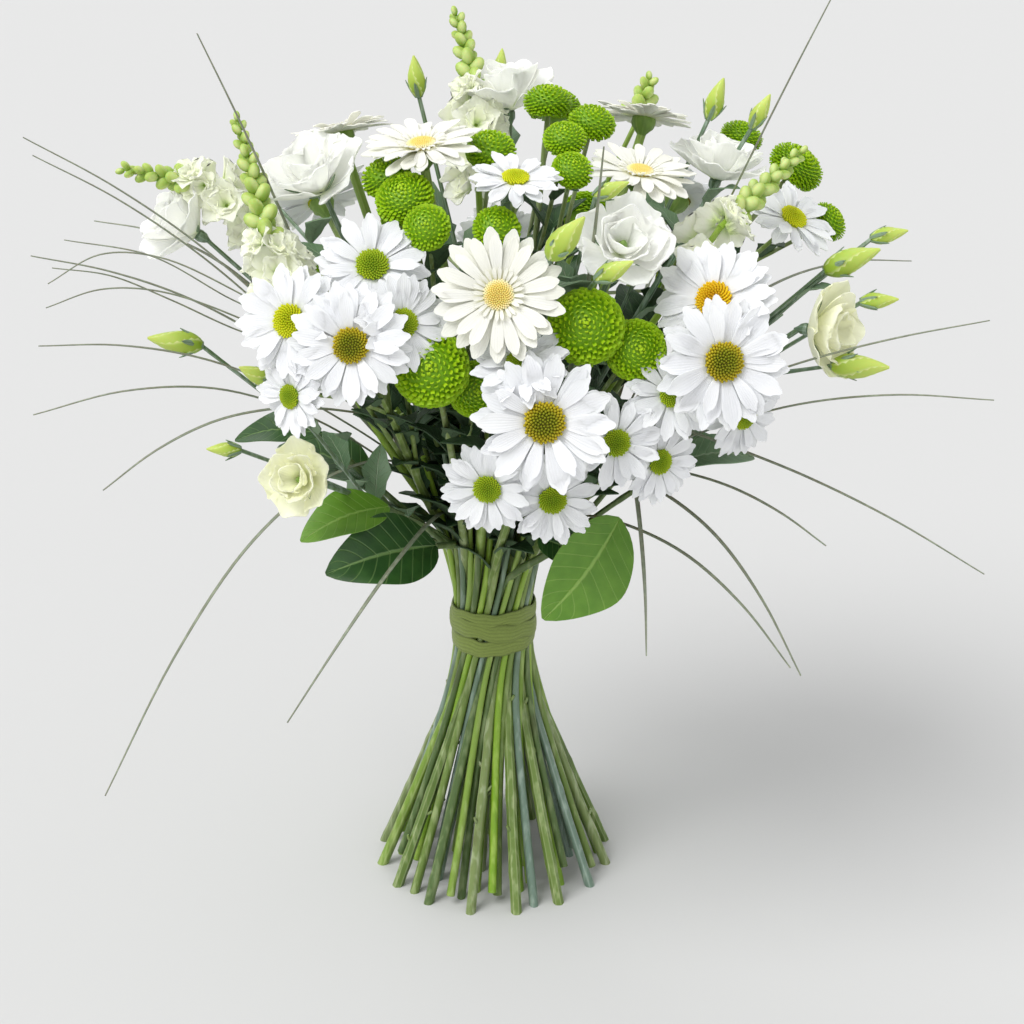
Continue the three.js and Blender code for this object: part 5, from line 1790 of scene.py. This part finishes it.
@dataclass
class LisianthusStems(RootedPlants):
    """The lisianthus: glaucous stems, cupped ruffled flowers and twisted buds in narrow sepals.

    The stems named in cream bear cream flowers. profile holds a bud's radii at some heights, all of
    them shares of its length.
    """

    kind: Kind = Kind.LISIANTHUS
    stem: StemCut = StemCut(4, 0.03, 0.052)
    foliage: tuple[float, float] = (0.026, 0.032)
    outer: PetalCut = PetalCut(0.95, 0.28, 0.72, 0.35, 0.40, 0.16, 0.0, 0.055, 0.75, 0.0005)
    inner: PetalCut = PetalCut(0.90, 0.30, 0.72, 0.75, 0.35, 0.26, 0.0, 0.05, 0.75, 0.0005)
    closed: PetalCut = PetalCut(0.90, 0.35, 0.7, 1.05, 0.30, 0.36, 0.0, 0.03, 0.75, 0.0005)
    sepal: PetalCut = PetalCut(0.20, 0.8, 0.4, 0.9, 0.3, 0.2, 0.0, blunt=0.1)
    cream: tuple[str, ...] = ("left_low", "right_low")
    heights: tuple[float, ...] = (0, 0.08, 0.22, 0.38, 0.55, 0.72, 0.88, 1)
    profile: tuple[float, ...] = (0.06, 0.14, 0.2, 0.215, 0.19, 0.135, 0.075, 0.02)

    def flower(self, growth: Growth, bloom: Bloom, place: Place, rng: Random, cream: bool) -> None:
        """Adds one flower, white or cream: rings of lapped petals round a green heart."""
        garden, across = self.garden, bloom.across
        rings = (
            Ring(self.outer, 5, 0.56),
            Ring(self.inner, 5, 0.50, 0.001),
            Ring(self.closed, 4, 0.40, 0.002),
        )
        sizes = (across, 0.035 * across)
        garden.grow_rings(growth, garden.wide, place, rings, sizes, rng, 0.6, 2 if cream else 0)
        pistil = garden.egg.corners * (0.05, 0.05, 0.12) * across + (0, 0, 0.12 * across)
        growth.add(garden.egg, place.of(pistil), 0.5, 0.2, 0.5, finish=1)

    def sepals(self, growth: Growth, place: Place, length: float, lift: float) -> None:
        """Adds five narrow sepals under a flower or along a bud."""
        form = self.garden.petal
        x, v, w = form.corners.T
        rng = np.random.default_rng([SEED, int(length * 1e5)])
        cut = replace(self.sepal, lift=lift)
        corners = cut.ring(form, 5, length, 0.0016, rng, 0.5, 0.3)
        growth.add(form, place.of(corners), 0.5, 0.5 + 0.5 * v, x, w, 1)

    def bud(self, growth: Growth, one: Bud, n: int) -> None:
        """Adds one bud: a spindle of five petals wound round each other."""
        form, length = self.garden.bud, one.length
        place = Place.standing(one.at, one.points, n).lowered(length / 2)
        x, y, z = form.corners.T
        angle = np.arctan2(y, x)
        lap = (5 * angle / (2 * math.pi) + 1.9 * z) % 1.0
        reach = length * np.interp(z, self.heights, self.profile) * (0.93 + 0.14 * lap) * np.hypot(x, y)
        corners = around(angle + 0.7 * z, reach, z * length)
        growth.add(form, place.of(corners), spread(n), z, 2 * lap - 1, finish=2)
        self.sepals(growth, place, 0.5 * length, 1.0)

    def build(self) -> None:
        """Builds all the stems."""
        for name, (flowers, buds) in LISIANTHUS.items():
            plant, stems = self.rooted(name)
            for n, one in enumerate(buds):
                self.bud(stems, one, n)
            for n, bloom in enumerate(flowers):
                place = Place.standing(bloom.at, bloom.faces, 2 * math.pi * spread(n))
                low = place.lowered(0.001)
                self.garden.grow_cup(stems, low, 0.7 * bloom.across, 0.003, 0)
                self.sepals(stems, low, 0.3 * bloom.across, 0.5)
                petals = Growth()
                rng = np.random.default_rng([SEED, 120, len(name), n])
                self.flower(petals, bloom, place, rng, name in self.cream)
                node = f"lisianthus_flower_{name}_{n + 1}"
                looks = "lisianthus_petal calyx lisianthus_cream"
                self.piece(petals, f"{node}_petals", looks, "lisianthus_petal", node)
            looks = "lisianthus_stem leaf_grey lisianthus_bud"
            self.piece(stems, f"{plant.node}_stems", looks, "lisianthus_green", plant.node)


@dataclass
class SnapdragonStems(RootedPlants):
    """The snapdragons: spikes of egg-shaped buds that shrink to the tip, some open at the foot.

    opened is the number of open florets at the foot of a plant's first spike, and pitch is the
    distance between buds along a spike.
    """

    kind: Kind = Kind.SNAPDRAGON
    stem: StemCut = StemCut(5, 0.015, 0.045)
    lip: PetalCut = PetalCut(0.8, 0.5, 0.65, 0.9, -0.6, 0.25, 0.0, 0.07, 0.7)
    throat: PetalCut = PetalCut(0.8, 0.5, 0.65, 1.3, -0.5, 0.25, 0.0, 0.07, 0.7)
    opened: int = 4
    pitch: float = 0.0019

    def spike(self, growth: Growth, stops: Sequence[Triple], opened: int, rng: Random) -> None:
        """Adds one spike.

        Args:
            growth: the mesh that it joins.
            stops: points of its axis.
            opened: number of open florets at its foot.
            rng: source of the small differences.
        """
        twig, form = self.garden.twig, self.garden.egg
        path = smooth_path(stops, TWIG_STEPS)
        length = np.linalg.norm(np.diff(path, axis=0), axis=1).sum()
        corners = self.garden.along_path(twig, path, lambda z, angle: 0.0016 - 0.0009 * z)
        growth.add(twig, corners, 0.5, 0.8, 0.0)
        count = max(int(length / self.pitch), 10)
        for k in range(count):
            share = (k + 0.5) / count
            i = min(int(share * TWIG_STEPS), TWIG_STEPS - 1)
            at = path[i] + (path[i + 1] - path[i]) * (share * TWIG_STEPS - i)
            rise = heading(path, i)
            angle = k * GOLDEN_ANGLE
            out = unit(Place.standing(at, rise, angle).turn[:, 0] + rise * (0.5 + 0.9 * share))
            size = 0.0041 * (1 - 0.62 * share) * (0.92 + 0.16 * rng.random())
            if k < opened:
                self.floret(growth, at + out * 0.003, out, 0.0105, rng)
                continue
            egg = form.corners * (size, size, 1.55 * size)
            egg = egg * (1 - 0.22 * form.corners[:, 2:])
            place = Place.standing(at + out * (0.0022 + 0.9 * size), out, angle)
            along, side = 0.5 + 0.5 * form.corners[:, 2], np.abs(form.corners[:, 0])
            growth.add(form, place.of(egg), rng.random(), along, side, finish=1)

    def floret(self, growth: Growth, at: Array, out: Array, size: float, rng: Random) -> None:
        """Adds one open ruffled floret of two rings of lips."""
        place = Place.standing(at, out, rng.uniform(0, 6))
        rings = (Ring(self.lip, 5, 1.0), Ring(self.throat, 5, 0.8))
        self.garden.grow_rings(growth, self.garden.petal, place, rings, (size, 0.001), rng, 0.8, 2)

    def grow_open(self, growth: Growth, strand: Strand, count: int, rng: Random) -> None:
        """Adds open florets round the end of a stem, below its spike of buds."""
        path = smooth_path(strand.points, STEM_STEPS)
        for k in range(count):
            i = STEM_STEPS - 1 - round(8 * k / count)
            turn = k * GOLDEN_ANGLE
            out = unit(np.array((math.cos(turn), math.sin(turn), 0.35)) + 0.3 * heading(path, i))
            self.floret(growth, path[i] + out * 0.006, out, rng.uniform(0.012, 0.015), rng)

    def build(self) -> None:
        """Builds all the snapdragons."""
        for name, spikes in SNAPDRAGONS.items():
            plant, growth = self.rooted(name)
            rng = np.random.default_rng([SEED, 160, len(name), len(spikes)])
            self.grow_open(growth, plant.strands[0], OPEN_FLORETS[name], rng)
            for n, stops in enumerate(spikes):
                self.spike(growth, stops, 0 if n else self.opened, rng)
            looks = "snapdragon_stem snapdragon_bud floret_cream"
            self.piece(growth, f"{plant.node}_spikes", looks, "snapdragon_green", plant.node)


@dataclass
class LeafyStems(RootedPlants):
    """The stems of broad leaves round the foot of the head."""

    kind: Kind = Kind.LEAFY
    stem: StemCut = StemCut(5, 0.03, 0.04)
    notch: float = 0.015

    def build(self) -> None:
        """Builds all the leafy stems."""
        form = self.garden.leaf
        x, v, w = form.corners.T
        tones = list(LeafTone)
        for name, leaves in LEAFY_STEMS.items():
            plant, growth = self.rooted(name)
            for n, leaf in enumerate(leaves):
                root, tip, up = (np.array(point, float) for point in (leaf.root, leaf.tip, leaf.up))
                corners = self.garden.leaf_corners(form, root, tip, up, leaf.width, self.notch)
                growth.add(form, corners, spread(n), v, x, w, 1 + tones.index(leaf.tone))
            looks = " ".join(["leafy_stem", *(tone.value for tone in tones)])
            self.piece(growth, f"{plant.node}_leaves", looks, "leaf_green", plant.node)


@dataclass
class BearGrass(RootedPlants):
    """The two bundles of bear grass: long creased blades, and finer ones on the left.

    A blade's half widths stand at shares of its length, and fine is the width of a fine blade's.
    """

    kind: Kind = Kind.GRASS
    stem: StemCut = StemCut(6, 0.16, 1.0)
    shares: tuple[float, ...] = (0, 0.15, 0.7, 1)
    halves: tuple[float, ...] = (0.0012, 0.0013, 0.0009, 0.0003)
    fine: float = 0.62
    crease: float = 0.45

    def build(self) -> None:
        """Builds both bundles."""
        form = self.garden.strip
        x, v, w = form.corners.T
        i = np.rint(v * BLADE_STEPS).astype(int)
        for name in GRASS:
            plant, growth = self.rooted(name)
            routes = [(strand.points, 1.0) for strand in plant.strands[1:]]
            routes += [(stops, self.fine) for stops in FINE_GRASS[name]]
            for n, (stops, share) in enumerate(routes):
                path = smooth_path(stops, BLADE_STEPS)
                along = np.gradient(path, axis=0)
                along /= np.linalg.norm(along, axis=1, keepdims=True)
                beside = np.cross(along, (0.0, 0.0, 1.0))
                beside /= np.linalg.norm(beside, axis=1, keepdims=True)
                above = np.cross(beside, along)
                half = share * np.interp(v, self.shares, self.halves)
                lift = self.crease * half * np.abs(x) + w * 0.00018
                corners = path[i] + beside[i] * (x * half)[:, None] + above[i] * lift[:, None]
                growth.add(form, corners, spread(n), v, 1 - 2 * np.abs(x), w)
            self.piece(growth, f"{plant.node}_blades", "grass_blade", "grass_green", plant.node)


@dataclass
class FillerStems(Planting):
    """Thin leafy stems that fill the bunch: two in each gap of the outer ring, inside the tie.

    Of the two, feet are the radii on which they stand, and offsets are their shares of the gap over
    the tie and at the feet. colours are the numbers of the finishes that their stems have in turn.
    """

    tie_radius: float = 0.0182
    feet: tuple[float, float] = (0.0565, 0.0480)
    offsets: tuple[tuple[float, float], ...] = ((0.25, 0.46), (0.75, 0.60))
    looks: str = "snapdragon_stem sprig_leaf lisianthus_stem leafy_stem daisy_stem gerbera_stem"
    colours: tuple[int, ...] = (0, 4, 2, 5, 3)
    taper: tuple[float, ...] = (1.45, 1.35, 1.2, 1.05, 1, 1, 0.95, 0.8)
    sprigs: tuple[float, float] = (0.80, 1.0)
    foliage: tuple[float, float] = (0.016, 0.030)

    @property
    def start(self) -> float:
        """Angle of the first slot of the outer ring."""
        return max(self.plants.values(), key=lambda plant: plant.slot[0]).slot[1]

    def strand(self, gap: int, which: int) -> Strand:
        """Route of one stem.

        Args:
            gap: number of the gap of the outer ring.
            which: 0 for the stem that stands further out, 1 for the other.

        Returns:
            The strand, from its cut end up into the head.
        """
        number = 2 * gap + which
        foot = self.feet[which] + 0.003 * (spread(number) - 0.5)
        splay = math.sqrt((foot / self.tie_radius) ** 2 - 1) / TIE_HEIGHT
        top = 0.095 + 0.035 * spread(number + 5)
        near, far = self.offsets[which]
        stops = []
        low = -TIE_HEIGHT + (0.003 + 0.012 * spread(number + 2)) * (number % 3 > 0)
        for rise in (low, -0.7 * TIE_HEIGHT, -0.4 * TIE_HEIGHT, -NECK, 0.0, NECK, 0.6 * top, top):
            share = near + (far - near) * float(ease(np.array(-rise / TIE_HEIGHT * 1.5)))
            angle = self.start + 2 * math.pi * (gap + share) / RINGS[-1]
            angle += TWIST * rise / math.hypot(rise, TWIST_REACH)
            radius = self.tie_radius * math.hypot(1, splay * rise)
            stops.append((radius * math.cos(angle), radius * math.sin(angle), TIE_HEIGHT + rise))
        girth = (0.0017 - 0.0003 * spread(3 * number)) * np.array(self.taper)
        return Strand(np.array(stops), girth, np.zeros(len(stops), bool))

    def build(self) -> None:
        """Builds the stems, in one piece for each leafy stem of the solids."""
        garden, form = self.garden, self.garden.slim
        height = form.corners[:, 2]
        growths = {name: Growth() for name in LEAFY_STEMS}
        for number in range(2 * RINGS[-1]):
            growth = list(growths.values())[number % len(growths)]
            strand = self.strand(*divmod(number, 2))
            radii = np.interp(height, np.linspace(0, 1, len(strand.radii)), strand.radii)
            path = smooth_path(strand.points, SLIM_STEPS)
            corners = garden.along_path(form, path, lambda z, angle: radii)
            finish = self.colours[number % len(self.colours)]
            growth.add(form, corners, spread(number), height, 0.0, finish=finish)
            garden.grow_sprigs(growth, strand, self.sprigs, *self.foliage)
        for name, growth in growths.items():
            self.piece(growth, f"filler_stems_{name}", self.looks, "leaf_green", f"leafy_stem_{name}")


@dataclass(frozen=True)
class Turn:
    """A turn of the tie.

    middle is the height of its middle over the tie's, width is the strip's, slant is how far it rises
    and falls, phase is where it is highest in radians, and out is how far it lies outside the first.
    """

    middle: float
    width: float
    slant: float
    phase: float
    out: float


@dataclass
class RaffiaTie(Planting):
    """The tie: flat turns of folded raffia that cross each other at a slant, with a tucked end."""

    steps: int = 120
    turns: tuple[Turn, ...] = (
        Turn(-0.0066, 0.0098, 0.0012, 0.4, 0.0),
        Turn(0.0068, 0.0092, -0.0014, 2.2, 0.00035),
        Turn(0.0004, 0.0100, 0.0020, 4.0, 0.0008),
    )

    @staticmethod
    def wind(growth: Growth, form: Form, turn: Turn) -> None:
        """Adds one turn of the strip, made from a slab whose length runs once round."""
        x, v, w = form.corners.T
        angle, phase = 2 * math.pi * v, turn.phase
        wobble = 0.0005 * np.sin(5 * angle + 3 * phase) + 0.0003 * np.sin(11 * angle + phase)
        height = TIE_HEIGHT + turn.middle + turn.slant * np.cos(angle - phase) + wobble
        pinch = 1 - 0.16 * np.sin(3 * angle + phase) ** 2
        folds = np.cos(5 * math.pi * x + 1.5 * np.sin(2 * angle + phase))
        radius = TIE_INNER + 0.0003 + turn.out + 0.0005 * (1 - x**2) + 0.00012 * folds + w * 0.00028
        radius += 0.0002 * np.sin(7 * angle + phase)
        corners = around(angle, radius, height + x * turn.width / 2 * pinch)
        # crease: painted shade in the hollows of the folds, plus a darker band at the strip's edges
        crease = 0.5 * np.clip(0.1 - 0.5 * folds, 0, 1) + 0.36 * np.abs(x) ** 8
        growth.add(form, corners, crease[None], v * 6, x * 2)

    def build(self) -> None:
        """Builds the tie."""
        growth = Growth()
        form = Form.sheet(14, self.steps)
        for turn in self.turns:
            self.wind(growth, form, turn)
        self.piece(growth, "raffia_tie_turns", "raffia", "raffia", "raffia_tie")


# ---------------------------------------------------------------- the studio


@dataclass
class Studio:
    """A pale floor, soft light from the upper left, the front and behind, and the camera.

    Each sun has a name, the side that it shines from, its width in the sky in degrees, and its power.
    """

    aim: Triple = (0.0095, 0.0, 0.197)
    distance: float = 1.10
    pitch: float = math.radians(23)
    focal_pixels: float = 2200
    picture: float = 1024
    sensor: float = 36.0
    suns: tuple[tuple[str, Triple, float, float], ...] = (
        ("key", (-0.75, -0.60, 1.25), 36, 2.05),
        ("fill", (0.2, -1.0, 0.4), 60, 0.20),
        ("rim", (-0.3, 1.0, 0.9), 50, 0.4),
    )
    sky: tuple[float, float, float, float] = (0.98, 0.985, 1.0, 1.0)
    sky_power: float = 0.70

    def camera(self) -> None:
        """Places the camera."""
        data = bpy.data.cameras.new("camera")
        data.sensor_width = self.sensor
        data.lens = self.sensor * self.focal_pixels / self.picture
        made = bpy.data.objects.new("camera", data)
        bpy.context.scene.collection.objects.link(made)
        back = Vector((0, -math.cos(self.pitch), math.sin(self.pitch)))
        made.location = Vector(self.aim) + back * self.distance
        made.rotation_euler = (-back).to_track_quat("-Z", "Y").to_euler()
        bpy.context.scene.camera = made

    def floor(self) -> None:
        """Makes the floor."""
        bpy.ops.object.select_all(action="DESELECT")
        bpy.ops.mesh.primitive_plane_add(size=40)
        made = bpy.context.active_object
        made.name = "floor"
        brush = Brush("floor")
        cloud = brush.noise(0.4)
        brush.paint(brush.mix(cloud, 0xCDCDCC, 0xCFCFCE), 0.9)
        brush.set(Specular_IOR_Level=0.1)
        made.data.materials.append(brush.material)

    def sun(self, name: str, at: Triple, width: float, power: float) -> None:
        """Adds soft far light that comes from a side, as wide in the sky as so many degrees."""
        data = bpy.data.lights.new(name, "SUN")
        data.angle, data.energy = math.radians(width), power
        made = bpy.data.objects.new(name, data)
        made.rotation_euler = (-Vector(at)).to_track_quat("-Z", "Y").to_euler()
        bpy.context.scene.collection.objects.link(made)

    def build(self) -> None:
        """Builds the studio."""
        self.camera()
        self.floor()
        for sun in self.suns:
            self.sun(*sun)
        world = bpy.data.worlds.new("room")
        world.use_nodes = True
        back = world.node_tree.nodes["Background"]
        back.inputs["Color"].default_value = self.sky
        back.inputs["Strength"].default_value = self.sky_power
        bpy.context.scene.world = world
        bpy.context.scene.view_settings.view_transform = "Standard"


def main() -> None:
    """Builds the studio and the bunch."""
    logging.basicConfig(level=logging.INFO, format="%(message)s")
    Studio().build()
    plants = all_plants()
    Spiral(plants).lay_out()
    by_node = {plant.node: plant for plant in plants}
    garden = Garden(Finishes())
    kinds = (DaisySprays, Gerberas, PompomSprays, LisianthusStems, SnapdragonStems, LeafyStems, BearGrass)
    for kind in (*kinds, FillerStems, RaffiaTie):
        kind(garden, by_node).build()
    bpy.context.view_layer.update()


if __name__ == "__main__":
    main()
